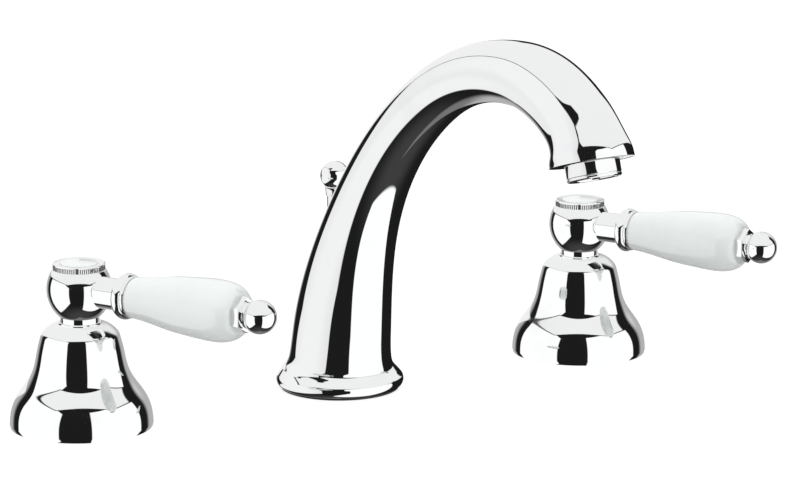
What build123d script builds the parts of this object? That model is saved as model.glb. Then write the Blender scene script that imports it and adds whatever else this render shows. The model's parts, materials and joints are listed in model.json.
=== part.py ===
from build123d import *
import math
import os

# Three-hole basin mixer tap: a swan-neck spout with a pop-up lift rod behind it, and two
# quarter-turn valves under bell covers with porcelain lever handles.
#
# Frame: the origin is the centre of the spout's foot on the basin deck, +Z is up, -Y points
# along the spout towards the user, and +X is to the user's right, along the row of holes.
# Sizes are in millimetres. Everything below Z = 0 hangs under the deck.

# Layout on the basin deck
HOLE_SPACING = 115.0
DECK_THICKNESS = 20.0
LEVER_ANGLE = -65.0

# Threads are modelled as plain cylinders at their outer diameters
SHANK_RADIUS = 14.0
SUPPLY_THREAD_RADIUS = 10.48
HOSE_NIPPLE_RADIUS = 8.33
RUNNING_CLEARANCE = 0.06
SHANK_CLEARANCE = 0.3

# Spout centreline: four tangent arcs in the plane X = 0
RISE_RADIUS = 150.4
RISE_TURN = 60.0
ARCH_RADIUS = 110.0
ARCH_TURN = 30.0
CROWN_RADIUS = 62.0
CROWN_TURN = 35.0
DROP_RADIUS = 26.6
DROP_TURN = 37.3

# Outer radius of the spout at distances along that centreline, then at distances before its
# mouth, where it flares, and in the quick sweep outwards to the foot flange
SPOUT_FOOT_RADIUS = 20.1
SPOUT_WAIST_RADIUS = 11.1
SPOUT_MOUTH_RADIUS = 15.4
SPOUT_STATIONS = (
    (15.0, SPOUT_FOOT_RADIUS),
    (25.0, 19.45),
    (45.0, 17.7),
    (70.0, 15.0),
    (100.0, 12.8),
    (135.0, 11.6),
    (170.0, SPOUT_WAIST_RADIUS),
    (205.0, 11.65),
    (235.0, 12.8),
)
MOUTH_STATIONS = (
    (15.5, 13.2),
    (9.4, 13.65),
    (5.8, 14.35),
    (2.8, 15.15),
    (0.0, SPOUT_MOUTH_RADIUS),
)
FOOT_STATIONS = (
    (7.6, 23.0),
    (10.0, 21.2),
    (12.4, 20.45),
    (15.0, SPOUT_FOOT_RADIUS),
)
SPOUT_WALL = 2.4
SPOUT_FLOOR_BOTTOM = 9.0
SPOUT_FLOOR_TOP = 16.0
SPOUT_SHANK_WALL = 2.2
SPOUT_SHANK_BOTTOM = -45.0

# Foot flange of the spout and its seal
FLANGE_RADIUS = 25.4
FLANGE_FOOT_RADIUS = 24.2
FLANGE_WIDEST_HEIGHT = 3.2
FLANGE_TOP = 5.2
FLANGE_TOP_RADIUS = 24.9
SEAL_THICKNESS = 1.0
SEAL_OUTER_RADIUS = 23.6

# Aerator in the spout's mouth
AERATOR_SKIRT_RADIUS = 9.9
AERATOR_SKIRT_LENGTH = 6.1
AERATOR_THREAD_RADIUS = 9.0
AERATOR_THREAD_LENGTH = 8.0
AERATOR_BORE_RADIUS = 8.0
AERATOR_LIP_RADIUS = 7.5
AERATOR_LIP_HEIGHT = 1.4
AERATOR_SCREEN_THICKNESS = 0.8
AERATOR_SEAL_THICKNESS = 1.4
JET_CIRCLE_RADIUS = 5.0
JET_RADIUS = 0.9
WATERWAY_RADIUS = 6.0
WATERWAY_END_RADIUS = 10.4
WATERWAY_END = 12.0

# Water inlet stub of the spout, just inside the front of its shank
STUB_RADIUS = 4.9
STUB_CLEARANCE = 0.3
STUB_BORE_RADIUS = 3.4
STUB_BOTTOM = -62.0
STUB_THREAD_LENGTH = 12.0
STUB_FLATS = 11.0
STUB_HEX_HEIGHT = 4.0
STUB_Y = STUB_RADIUS + STUB_CLEARANCE + SPOUT_SHANK_WALL - SHANK_RADIUS

# Pop-up lift rod and its knob, with a web of the spout's floor between stub and bush
ROD_RADIUS = 3.0
ROD_BOTTOM = -95.0
KNOB_RADIUS = 5.7
KNOB_HEIGHT = 85.2
KNOB_THROAT_DROP = 4.2
KNOB_SLEEVE_DROP = 8.0
ROD_CHANNEL_RADIUS = 5.2
BUSH_RADIUS = 4.2
FLOOR_WEB = 1.0
ROD_Y = STUB_Y + STUB_RADIUS + FLOOR_WEB + BUSH_RADIUS

# Bell cover
BELL_FOOT_RADIUS = 27.5
BELL_SHOULDER_RADIUS = 15.2
BELL_CROWN_RADIUS = 9.8
BELL_TOP = 40.2
BELL_WALL = 1.8
BELL_CROWN_THICKNESS = 3.1
BELL_OUTLINE = (
    (BELL_FOOT_RADIUS, 1.2),
    (26.95, 6.2),
    (24.75, 11.8),
    (20.6, 17.8),
    (18.3, 22.4),
    (16.6, 29.8),
    (BELL_SHOULDER_RADIUS, 35.4),
)
NECK_RADIUS = 7.45
NECK_BEAD_RADIUS = 8.35
NECK_BEAD_HEIGHT = 0.8

# Valve body under the bell
VALVE_FLANGE_RADIUS = 18.0
VALVE_FLANGE_THICKNESS = 3.5
VALVE_BARREL_RADIUS = 13.0
VALVE_BARREL_TOP = 17.0
VALVE_SEAT = -2.0
SHANK_BOTTOM = -60.0
SUPPLY_BOTTOM = -74.0
SUPPLY_BORE_RADIUS = 4.5
GASKET_RADIUS = 21.0
GASKET_THICKNESS = 1.5

# Outlet in the valve's side, turned towards the spout and half backwards
OUTLET_TURN = 45.0
NIPPLE_HEIGHT = -50.0
NIPPLE_LENGTH = 14.0
NIPPLE_ROOT = 9.0
NIPPLE_BORE_RADIUS = 4.2
OUTLET_DRILL_RADIUS = 2.4
OUTLET_DRILL_OFFSET = 8.6

# Nuts and washers under the deck
RUBBER_WASHER_THICKNESS = 3.0
METAL_WASHER_THICKNESS = 2.0
WASHER_RADIUS = 22.0
LOCK_NUT_FLATS = 36.0
LOCK_NUT_HEIGHT = 8.0

# Quarter-turn headwork
DISC_RADIUS = 7.9
FIXED_DISC_THICKNESS = 3.2
MOVING_DISC_THICKNESS = 2.8
HEADWORK_THREAD_RADIUS = 10.48
HEADWORK_FLATS = 19.0
HEADWORK_HEX_TOP = 24.0
GLAND_RADIUS = 7.5
GLAND_TOP = 33.0
DRIVER_BOTTOM = 6.1
DRIVER_TOP = 9.8
SPINDLE_RADIUS = 4.0

# Handle hub: its outline is an arc a little flatter than a ball's
HUB_RADIUS = 12.5
HUB_CURVE = 14.2
HUB_FOOT_RADIUS = 8.1
NECK_SHOWN = 2.3
HUB_RISE = 7.7
HUB_BORE_RADIUS = 6.9
HUB_FLOOR_DROP = 1.6
SPINDLE_DROP = 7.6
SCREW_HEAD_RADIUS = 4.2
SCREW_HEAD_HEIGHT = 2.6

# Index ring and index disc
INDEX_RING_RADIUS = 10.1
INDEX_RING_HEIGHT = 2.7
INDEX_RING_ROOT = 3.2
INDEX_RING_BORE_RADIUS = 5.2
INDEX_SEAT_RISE = 0.8
INDEX_DISC_RADIUS = 7.3
INDEX_DISC_DOME = 0.6

HUB_FOOT_DROP = math.sqrt(HUB_CURVE**2 - (HUB_CURVE - HUB_RADIUS + HUB_FOOT_RADIUS) ** 2)
HUB_HEIGHT = BELL_TOP + NECK_BEAD_HEIGHT + NECK_SHOWN + HUB_FOOT_DROP
HUB_TOP = HUB_HEIGHT + HUB_RISE
SPINDLE_TOP = HUB_HEIGHT - SPINDLE_DROP
INDEX_RING_TOP = HUB_TOP + INDEX_RING_HEIGHT
INDEX_SEAT = HUB_TOP + INDEX_SEAT_RISE

# Lever, measured along its axis from the hub's centre
STEM_RADIUS = 6.05
STEM_PILOT_RADIUS = 4.0
COLLAR_START = 20.6
COLLAR_FOOT_RADIUS = 6.7
COLLAR_BEAD_RADIUS = 8.85
COLLAR_BEAD_LENGTH = 4.3
COLLAR_RING_RADIUS = 8.05
COLLAR_END = 26.5
GRIP_START = 27.0
GRIP_END = 75.9
GRIP_WIDEST = 64.0
GRIP_RADIUS = 11.75
GRIP_OUTLINE = (
    (7.85, 27.3),
    (8.7, 35.0),
    (10.3, 45.0),
    (11.25, 55.0),
    (GRIP_RADIUS, GRIP_WIDEST),
    (11.0, 71.2),
    (8.4, 75.55),
)
GRIP_END_RADIUS = 7.7
GRIP_WASHER_RADIUS = 7.5
TIE_ROD_RADIUS = 2.5
TIE_ROD_START = 14.0
FINIAL_FLATS = 12.0
FINIAL_HEX_LENGTH = 3.0
FINIAL_COLLAR_RADIUS = 5.0
FINIAL_NECK_RADIUS = 4.7
FINIAL_BALL_RADIUS = 6.4
FINIAL_BALL_CENTRE = 84.4
FINIAL_TAP_DEPTH = 6.0

os.makedirs("parts", exist_ok=True)


def save(name, shape):
    export_step(shape, "parts/" + name + ".step")


def turned(*edges):
    """A solid of revolution about Z from profile edges given as (radius, height)."""
    return revolve(Plane.XZ * make_face(list(edges)), axis=Axis.Z)


def turned_corners(*corners):
    """A solid of revolution about Z from straight profile edges."""
    return revolve(Plane.XZ * make_face(Polyline(*corners, close=True)), axis=Axis.Z)


def rod(radius, bottom, top, x=0.0, y=0.0):
    """A vertical cylinder between two heights."""
    height = top - bottom
    return Pos(x, y, bottom + height / 2) * Cylinder(radius, height)


def ring(inner, outer, bottom, top):
    return rod(outer, bottom, top) - rod(inner, bottom - 1, top + 1)


def hexagon(flats, bottom, top, turn=0.0):
    """A hexagonal prism on Z; with turn 0 it has a corner on X."""
    outline = RegularPolygon(flats / 2, 6, major_radius=False, rotation=turn)
    return extrude(Pos(0, 0, bottom) * outline, top - bottom)


# Spout centreline as edges in the plane X = 0, where the sketch's x is Y and its y is Z
rise = JernArc(start=(0, 0), tangent=(0, 1), radius=RISE_RADIUS, arc_size=RISE_TURN)
arch = JernArc(start=rise @ 1, tangent=rise % 1, radius=ARCH_RADIUS, arc_size=ARCH_TURN)
crown = JernArc(start=arch @ 1, tangent=arch % 1, radius=CROWN_RADIUS, arc_size=CROWN_TURN)
drop = JernArc(start=crown @ 1, tangent=crown % 1, radius=DROP_RADIUS, arc_size=DROP_TURN)
centreline = [Plane.YZ * edge for edge in (rise, arch, crown, drop)]
SPOUT_LENGTH = sum(edge.length for edge in centreline)


def section_plane(distance):
    """The plane square to the spout's centreline at a distance from its foot."""
    left = distance
    for edge in centreline:
        if left <= edge.length or edge is centreline[-1]:
            at = min(left / edge.length, 1.0)
            return Plane(origin=edge @ at, x_dir=(1, 0, 0), z_dir=edge % at)
        left -= edge.length


def tube(stations):
    """A round, tapering solid along the spout's centreline."""
    return loft([section_plane(s) * Circle(r) for s, r in stations])


mouth = section_plane(SPOUT_LENGTH)


def at_mouth(shape):
    """Places a shape turned about Z so that Z points out of the spout's mouth."""
    return mouth.location * shape


# Spout body: one brass casting, hollow, with a tube cast in for the lift rod
mouth_stations = [(SPOUT_LENGTH - s, r) for s, r in MOUTH_STATIONS]
neck = tube([*SPOUT_STATIONS, *mouth_stations])
flange = turned(
    Line((0, SEAL_THICKNESS), (FLANGE_FOOT_RADIUS, SEAL_THICKNESS)),
    ThreePointArc(
        (FLANGE_FOOT_RADIUS, SEAL_THICKNESS),
        (FLANGE_RADIUS, FLANGE_WIDEST_HEIGHT),
        (FLANGE_TOP_RADIUS, FLANGE_TOP),
    ),
    Line((FLANGE_TOP_RADIUS, FLANGE_TOP), (0, FLANGE_TOP)),
    Line((0, FLANGE_TOP), (0, SEAL_THICKNESS)),
)
sweep_up = [Plane.XY.offset(FLANGE_TOP) * Circle(FLANGE_TOP_RADIUS)]
sweep_up += [section_plane(s) * Circle(r) for s, r in FOOT_STATIONS]
foot = neck + flange + loft(sweep_up)
cavity_stations = [(SPOUT_FLOOR_TOP, SPOUT_FOOT_RADIUS - SPOUT_WALL)]
cavity_stations += [(s, r - SPOUT_WALL) for s, r in SPOUT_STATIONS[2:]]
cavity_stations += [(SPOUT_LENGTH - WATERWAY_END, WATERWAY_END_RADIUS)]
cavity = tube(cavity_stations)
channel = rod(ROD_CHANNEL_RADIUS, SPOUT_FLOOR_BOTTOM, KNOB_HEIGHT, y=ROD_Y)
ledge = AERATOR_THREAD_LENGTH + AERATOR_SEAL_THICKNESS
spout_body = foot - (cavity - channel)
spout_body -= rod(SHANK_RADIUS, 0.0, SPOUT_FLOOR_BOTTOM)
spout_body -= rod(ROD_RADIUS + 0.3, 0.0, KNOB_HEIGHT, y=ROD_Y)
spout_body -= rod(BUSH_RADIUS, 0.0, SPOUT_FLOOR_TOP - 1.0, y=ROD_Y)
spout_body -= rod(STUB_RADIUS, 0.0, SPOUT_FLOOR_TOP - 2.0, y=STUB_Y)
spout_body -= rod(STUB_BORE_RADIUS + 0.2, 0.0, SPOUT_FLOOR_TOP + 1.0, y=STUB_Y)
spout_body -= at_mouth(rod(AERATOR_THREAD_RADIUS, -ledge, 3.0))
spout_body -= at_mouth(rod(WATERWAY_RADIUS, -WATERWAY_END - 3.0, 0.0))
save("spout_body", spout_body)

save("spout_base_seal", ring(SHANK_RADIUS + 1.0, SEAL_OUTER_RADIUS, 0.0, SEAL_THICKNESS))
shank_bore = SHANK_RADIUS - SPOUT_SHANK_WALL
save("spout_shank", ring(shank_bore, SHANK_RADIUS, SPOUT_SHANK_BOTTOM, SPOUT_FLOOR_BOTTOM))
stub = rod(STUB_RADIUS, STUB_BOTTOM, SPOUT_FLOOR_TOP - 2.0, y=STUB_Y)
stub_hex = STUB_BOTTOM + STUB_THREAD_LENGTH
stub += Pos(0, STUB_Y, 0) * hexagon(STUB_FLATS, stub_hex, stub_hex + STUB_HEX_HEIGHT)
stub -= rod(STUB_BORE_RADIUS, STUB_BOTTOM - 1, SPOUT_FLOOR_TOP, y=STUB_Y)
save("spout_inlet_stub", stub)


def washer_stack(x, prefix):
    """The rubber washer, metal washer and lock nut that pull one shank down on the deck."""
    z = -DECK_THICKNESS
    hole = SHANK_RADIUS + SHANK_CLEARANCE
    rubber = ring(hole, WASHER_RADIUS, z - RUBBER_WASHER_THICKNESS, z)
    save(prefix + "_rubber_washer", Pos(x, 0, 0) * rubber)
    z -= RUBBER_WASHER_THICKNESS
    metal = ring(hole, WASHER_RADIUS, z - METAL_WASHER_THICKNESS, z)
    save(prefix + "_metal_washer", Pos(x, 0, 0) * metal)
    z -= METAL_WASHER_THICKNESS
    nut = hexagon(LOCK_NUT_FLATS, z - LOCK_NUT_HEIGHT, z)
    slope = LOCK_NUT_FLATS / math.sqrt(3) - 1.4
    bevel = turned_corners(
        (0, z),
        (slope + 1.6, z),
        (slope + 1.6, z - LOCK_NUT_HEIGHT + 1.4),
        (slope, z - LOCK_NUT_HEIGHT),
        (0, z - LOCK_NUT_HEIGHT),
    )
    nut = (nut & bevel) - rod(SHANK_RADIUS, z - LOCK_NUT_HEIGHT - 1, z + 1)
    save(prefix + "_lock_nut", Pos(x, 0, 0) * nut)


washer_stack(0.0, "spout")

# Aerator, all of it turned about the mouth's own axis
skirt_end = AERATOR_SKIRT_LENGTH
lip = skirt_end - AERATOR_LIP_HEIGHT
grid = lip - AERATOR_SCREEN_THICKNESS
housing = turned_corners(
    (AERATOR_BORE_RADIUS, -AERATOR_THREAD_LENGTH),
    (AERATOR_THREAD_RADIUS, -AERATOR_THREAD_LENGTH),
    (AERATOR_THREAD_RADIUS, 0.0),
    (AERATOR_SKIRT_RADIUS, 0.0),
    (AERATOR_SKIRT_RADIUS, skirt_end - 0.5),
    (AERATOR_SKIRT_RADIUS - 0.4, skirt_end),
    (AERATOR_LIP_RADIUS + 0.4, skirt_end),
    (AERATOR_LIP_RADIUS, skirt_end - 0.4),
    (AERATOR_LIP_RADIUS, lip),
    (AERATOR_BORE_RADIUS, lip),
)
save("aerator_housing", at_mouth(housing))
insert = turned_corners(
    (0.0, -6.6),
    (AERATOR_BORE_RADIUS, -6.6),
    (AERATOR_BORE_RADIUS, -4.8),
    (AERATOR_BORE_RADIUS - 1.4, -3.8),
    (AERATOR_BORE_RADIUS - 1.4, 1.0),
    (AERATOR_BORE_RADIUS, 2.0),
    (AERATOR_BORE_RADIUS, grid),
    (0.0, grid),
)
jets = PolarLocations(JET_CIRCLE_RADIUS, 10)
insert -= [at * rod(JET_RADIUS, -AERATOR_THREAD_LENGTH, skirt_end) for at in jets]
save("aerator_insert", at_mouth(insert))
save("aerator_screen", at_mouth(ring(JET_RADIUS, AERATOR_BORE_RADIUS, grid, lip)))
seal = ring(WATERWAY_RADIUS + 0.2, AERATOR_THREAD_RADIUS, -ledge, -AERATOR_THREAD_LENGTH)
save("aerator_seal", at_mouth(seal))

# Lift rod, its guide bush in the spout's floor, and the knob
bush = rod(BUSH_RADIUS, SPOUT_FLOOR_BOTTOM, SPOUT_FLOOR_TOP - 1.0, y=ROD_Y)
bush -= rod(ROD_RADIUS + RUNNING_CLEARANCE, 0.0, SPOUT_FLOOR_TOP, y=ROD_Y)
save("lift_rod_bush", bush)
save("lift_rod", rod(ROD_RADIUS, ROD_BOTTOM, KNOB_HEIGHT - 1.0, y=ROD_Y))
knob_throat = KNOB_HEIGHT - KNOB_THROAT_DROP
knob_foot = KNOB_HEIGHT - KNOB_SLEEVE_DROP
throat_radius = math.sqrt(KNOB_RADIUS**2 - KNOB_THROAT_DROP**2)
knob = turned(
    Spline(
        (ROD_RADIUS + 0.5, knob_foot),
        (ROD_RADIUS + 0.65, knob_foot + 2.0),
        (throat_radius + 0.5, knob_throat - 0.3),
        tangents=((0.0, 1.0), (1.0, 0.5)),
    ),
    Line((throat_radius + 0.5, knob_throat - 0.3), (throat_radius, knob_throat)),
    ThreePointArc(
        (throat_radius, knob_throat),
        (KNOB_RADIUS, KNOB_HEIGHT),
        (0.0, KNOB_HEIGHT + KNOB_RADIUS),
    ),
    Line((0.0, KNOB_HEIGHT + KNOB_RADIUS), (0.0, knob_foot)),
    Line((0.0, knob_foot), (ROD_RADIUS + 0.5, knob_foot)),
)
knob -= rod(ROD_RADIUS, 0.0, KNOB_HEIGHT - 1.0)
save("lift_knob", Pos(0, ROD_Y, 0) * knob)


def bell_cover():
    """A thin turned bell with a threaded boss inside and a bead round its neck hole."""
    outer = Spline(*BELL_OUTLINE, tangents=((-0.03, 1.0), (-0.28, 1.0)))
    shoulder = Spline(
        BELL_OUTLINE[-1],
        (BELL_SHOULDER_RADIUS - 2.0, BELL_TOP - 2.1),
        (BELL_CROWN_RADIUS, BELL_TOP - 0.2),
        tangents=((-0.28, 1.0), (-1.0, 0.18)),
    )
    bell = turned(
        Line((0, 0), (BELL_FOOT_RADIUS - 0.3, 0)),
        Line((BELL_FOOT_RADIUS - 0.3, 0), BELL_OUTLINE[0]),
        outer,
        shoulder,
        Line((BELL_CROWN_RADIUS, BELL_TOP - 0.2), (NECK_BEAD_RADIUS, BELL_TOP)),
        Line((NECK_BEAD_RADIUS, BELL_TOP), (0, BELL_TOP)),
        Line((0, BELL_TOP), (0, 0)),
    )
    inside = [(r - BELL_WALL, z) for r, z in BELL_OUTLINE]
    inner_top = BELL_TOP - BELL_CROWN_THICKNESS
    vault = BELL_SHOULDER_RADIUS - 3.8
    hollow = turned(
        Line((0, -1), (inside[0][0], -1)),
        Line((inside[0][0], -1), inside[0]),
        Spline(*inside, tangents=((-0.03, 1.0), (-0.28, 1.0))),
        Line(inside[-1], (vault, inner_top)),
        Line((vault, inner_top), (0, inner_top)),
        Line((0, inner_top), (0, -1)),
    )
    bell = bell - hollow
    bell += ring(NECK_RADIUS, NECK_BEAD_RADIUS, BELL_TOP - 1.0, BELL_TOP + NECK_BEAD_HEIGHT)
    bell += ring(GLAND_RADIUS, GLAND_RADIUS + 2.2, GLAND_TOP - 5.0, inner_top + 0.5)
    return bell - rod(NECK_RADIUS + RUNNING_CLEARANCE, GLAND_TOP + 0.5, HUB_HEIGHT)


def towards_outlet(side):
    """Turns +X at the outlet's height to the side where the valve's outlet is."""
    facing = 90.0 + side * (90.0 - OUTLET_TURN)
    return Pos(0, 0, NIPPLE_HEIGHT) * Rot(0, 0, facing)


def valve_body(side):
    """A brass valve body: deck flange, barrel, threaded shank, supply end and side port."""
    body = turned_corners(
        (0, SUPPLY_BOTTOM),
        (SUPPLY_THREAD_RADIUS, SUPPLY_BOTTOM),
        (SUPPLY_THREAD_RADIUS, SHANK_BOTTOM),
        (SHANK_RADIUS, SHANK_BOTTOM),
        (SHANK_RADIUS, GASKET_THICKNESS),
        (VALVE_FLANGE_RADIUS, GASKET_THICKNESS),
        (VALVE_FLANGE_RADIUS, GASKET_THICKNESS + VALVE_FLANGE_THICKNESS),
        (VALVE_BARREL_RADIUS, GASKET_THICKNESS + VALVE_FLANGE_THICKNESS + 1.5),
        (VALVE_BARREL_RADIUS, VALVE_BARREL_TOP),
        (0, VALVE_BARREL_TOP),
    )
    body -= rod(HEADWORK_THREAD_RADIUS, 7.0, VALVE_BARREL_TOP + 1)
    body -= rod(HEADWORK_THREAD_RADIUS - 0.4, VALVE_SEAT, 8.0)
    body -= rod(SUPPLY_BORE_RADIUS, SUPPLY_BOTTOM - 1, VALVE_SEAT + 1)
    drill = rod(OUTLET_DRILL_RADIUS, 0.0, VALVE_SEAT + 1 - NIPPLE_HEIGHT, x=OUTLET_DRILL_OFFSET)
    port = Rot(0, 90, 0) * rod(HOSE_NIPPLE_RADIUS - 1.5, NIPPLE_ROOT, SHANK_RADIUS + 6.0)
    way = Rot(0, 90, 0) * rod(NIPPLE_BORE_RADIUS, NIPPLE_ROOT - 1.5, SHANK_RADIUS + 6.0)
    return body - towards_outlet(side) * (drill + port + way)


def hose_nipple(side):
    """The threaded outlet nipple screwed into the side of the valve body."""
    pilot = HOSE_NIPPLE_RADIUS - 1.5
    nipple = turned_corners(
        (NIPPLE_BORE_RADIUS, NIPPLE_ROOT),
        (pilot, NIPPLE_ROOT),
        (pilot, SHANK_RADIUS + 0.5),
        (HOSE_NIPPLE_RADIUS, SHANK_RADIUS + 0.5),
        (HOSE_NIPPLE_RADIUS, SHANK_RADIUS + NIPPLE_LENGTH),
        (NIPPLE_BORE_RADIUS, SHANK_RADIUS + NIPPLE_LENGTH),
    )
    return towards_outlet(side) * Rot(0, 90, 0) * nipple


def headwork():
    """The screwed-in body that holds the ceramic discs and guides the spindle."""
    body = turned_corners(
        (0, -0.4),
        (DISC_RADIUS + 0.9, -0.4),
        (DISC_RADIUS + 0.9, 7.0),
        (HEADWORK_THREAD_RADIUS, 7.0),
        (HEADWORK_THREAD_RADIUS, VALVE_BARREL_TOP),
        (0, VALVE_BARREL_TOP),
    )
    body += hexagon(HEADWORK_FLATS, VALVE_BARREL_TOP, HEADWORK_HEX_TOP)
    body += rod(GLAND_RADIUS, HEADWORK_HEX_TOP, GLAND_TOP)
    body -= rod(DISC_RADIUS + 0.1, -1.0, DRIVER_TOP + 0.4)
    body -= rod(SPINDLE_RADIUS + RUNNING_CLEARANCE, DRIVER_TOP - 0.8, GLAND_TOP + 1)
    for turn in (0, 180):
        window = Pos(DISC_RADIUS, 0, 4.6) * Box(6.0, 7.0, 2.6)
        body -= Rot(0, 0, turn + 90) * window
    return body


def port_disc(bottom, thickness):
    """A ceramic disc with two opposite ports."""
    disc = rod(DISC_RADIUS, bottom, bottom + thickness)
    for turn in (0, 180):
        disc -= Rot(0, 0, turn) * Pos(4.3, 0, bottom + thickness / 2) * Box(3.6, 5.2, thickness + 1)
    return disc


def spindle():
    """Driver plate, stem and splined head, with a tapped hole for the handle screw."""
    drive = rod(DISC_RADIUS - 0.3, DRIVER_BOTTOM, DRIVER_TOP)
    drive += rod(SPINDLE_RADIUS, DRIVER_TOP, SPINDLE_TOP)
    flutes = PolarLocations(SPINDLE_RADIUS, 12)
    drive -= [at * rod(0.45, GLAND_TOP + 4.0, SPINDLE_TOP + 1) for at in flutes]
    return drive - rod(2.0, GLAND_TOP + 4.0, SPINDLE_TOP + 1)


def on_lever(shape):
    """Lays a shape turned about Z along +X at the height of the hub's centre."""
    return Pos(0, 0, HUB_HEIGHT) * Rot(0, 90, 0) * shape


def handle_hub():
    """The ball-shaped hub on its neck, bored from above and from the lever's side."""
    neck_foot = BELL_TOP - 1.5
    ball_foot = HUB_HEIGHT - HUB_FOOT_DROP
    start, end = -math.asin(HUB_FOOT_DROP / HUB_CURVE), math.asin(HUB_RISE / HUB_CURVE)
    angles = [start + (end - start) * i / 8 for i in range(9)]
    flat_ball = HUB_RADIUS - HUB_CURVE
    belly = [
        (flat_ball + HUB_CURVE * math.cos(angle), HUB_HEIGHT + HUB_CURVE * math.sin(angle))
        for angle in angles
    ]
    ways = [(-math.sin(angle), math.cos(angle)) for angle in (start, end)]
    hub = turned(
        Line((0, neck_foot), (NECK_RADIUS, neck_foot)),
        Line((NECK_RADIUS, neck_foot), (NECK_RADIUS, ball_foot - 0.3)),
        Line((NECK_RADIUS, ball_foot - 0.3), belly[0]),
        Spline(*belly, tangents=ways),
        Line(belly[-1], (0, HUB_TOP)),
        Line((0, HUB_TOP), (0, neck_foot)),
    )
    hub -= rod(SPINDLE_RADIUS, neck_foot - 1, SPINDLE_TOP + 0.3)
    hub -= rod(2.2, SPINDLE_TOP, HUB_HEIGHT)
    hub -= rod(HUB_BORE_RADIUS, HUB_HEIGHT - HUB_FLOOR_DROP, HUB_TOP + 1)
    seat = math.sqrt(HUB_RADIUS**2 - STEM_RADIUS**2)
    hub -= on_lever(rod(STEM_RADIUS + 2.0, seat, HUB_RADIUS + 1))
    return hub - on_lever(rod(STEM_PILOT_RADIUS, seat - 2.4, seat + 1))


def hub_screw():
    """The cross-recessed screw that holds the hub on the spindle."""
    floor = HUB_HEIGHT - HUB_FLOOR_DROP
    head_top = floor + SCREW_HEAD_HEIGHT
    screw = rod(1.9, SPINDLE_TOP - 8.0, floor) + rod(SCREW_HEAD_RADIUS, floor, head_top)
    screw -= Pos(0, 0, head_top - 0.4) * (Box(4.4, 0.9, 1.6) + Box(0.9, 4.4, 1.6))
    return screw


def index_ring():
    """The knurled ring screwed into the hub's top, with a bevelled seat for the disc."""
    root = HUB_TOP - INDEX_RING_ROOT
    body = turned_corners(
        (INDEX_RING_BORE_RADIUS, root),
        (HUB_BORE_RADIUS, root),
        (HUB_BORE_RADIUS, HUB_TOP),
        (INDEX_RING_RADIUS - 0.35, HUB_TOP),
        (INDEX_RING_RADIUS - 0.35, HUB_TOP + 1.75),
        (INDEX_RING_RADIUS, HUB_TOP + 1.9),
        (INDEX_RING_RADIUS, INDEX_RING_TOP - 0.4),
        (INDEX_RING_RADIUS - 0.5, INDEX_RING_TOP),
        (INDEX_DISC_RADIUS + 0.5, INDEX_RING_TOP - 0.5),
        (INDEX_DISC_RADIUS, INDEX_RING_TOP - 0.5),
        (INDEX_DISC_RADIUS, INDEX_SEAT),
        (INDEX_RING_BORE_RADIUS, INDEX_SEAT),
    )
    return body


def index_disc():
    """The slightly domed porcelain disc in the index ring."""
    top = INDEX_RING_TOP + 0.4
    edge = top - INDEX_DISC_DOME
    dome = (INDEX_DISC_RADIUS**2 + INDEX_DISC_DOME**2) / (2 * INDEX_DISC_DOME)
    halfway = INDEX_DISC_RADIUS / 2
    middle = top - dome + math.sqrt(dome**2 - halfway**2)
    return turned(
        Line((0, INDEX_SEAT), (INDEX_DISC_RADIUS, INDEX_SEAT)),
        Line((INDEX_DISC_RADIUS, INDEX_SEAT), (INDEX_DISC_RADIUS, edge)),
        ThreePointArc((INDEX_DISC_RADIUS, edge), (halfway, middle), (0, top)),
        Line((0, top), (0, INDEX_SEAT)),
    )


def lever_stem():
    """The turned stem with its collar: a wide bead and a narrow ring."""
    seat = math.sqrt(HUB_RADIUS**2 - STEM_RADIUS**2)
    bead_end = COLLAR_START + COLLAR_BEAD_LENGTH
    groove = COLLAR_RING_RADIUS - 0.25
    stem = turned(
        Line((0, seat - 2.0), (STEM_PILOT_RADIUS, seat - 2.0)),
        Line((STEM_PILOT_RADIUS, seat - 2.0), (STEM_PILOT_RADIUS, seat)),
        Line((STEM_PILOT_RADIUS, seat), (STEM_RADIUS, seat)),
        Line((STEM_RADIUS, seat), (STEM_RADIUS, COLLAR_START)),
        Line((STEM_RADIUS, COLLAR_START), (COLLAR_FOOT_RADIUS, COLLAR_START)),
        ThreePointArc(
            (COLLAR_FOOT_RADIUS, COLLAR_START),
            (COLLAR_BEAD_RADIUS, COLLAR_START + COLLAR_BEAD_LENGTH / 2),
            (groove, bead_end),
        ),
        ThreePointArc(
            (groove, bead_end),
            (COLLAR_RING_RADIUS, (bead_end + COLLAR_END) / 2),
            (groove, COLLAR_END),
        ),
        Line((groove, COLLAR_END), (0, COLLAR_END)),
        Line((0, COLLAR_END), (0, seat - 2.0)),
    )
    return stem - rod(TIE_ROD_RADIUS, TIE_ROD_START, COLLAR_END + 1)


def porcelain_grip():
    """The porcelain sleeve, swelling from the collar to a round shoulder near its end."""
    grip = turned(
        Line((0, GRIP_START), (GRIP_WASHER_RADIUS, GRIP_START)),
        Line((GRIP_WASHER_RADIUS, GRIP_START), GRIP_OUTLINE[0]),
        Spline(*GRIP_OUTLINE, tangents=((0.08, 1.0), (-1.0, 0.75))),
        Line(GRIP_OUTLINE[-1], (GRIP_END_RADIUS, GRIP_END)),
        Line((GRIP_END_RADIUS, GRIP_END), (0, GRIP_END)),
        Line((0, GRIP_END), (0, GRIP_START)),
    )
    return grip - rod(TIE_ROD_RADIUS + 0.6, GRIP_START - 1, GRIP_END + 1)


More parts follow.
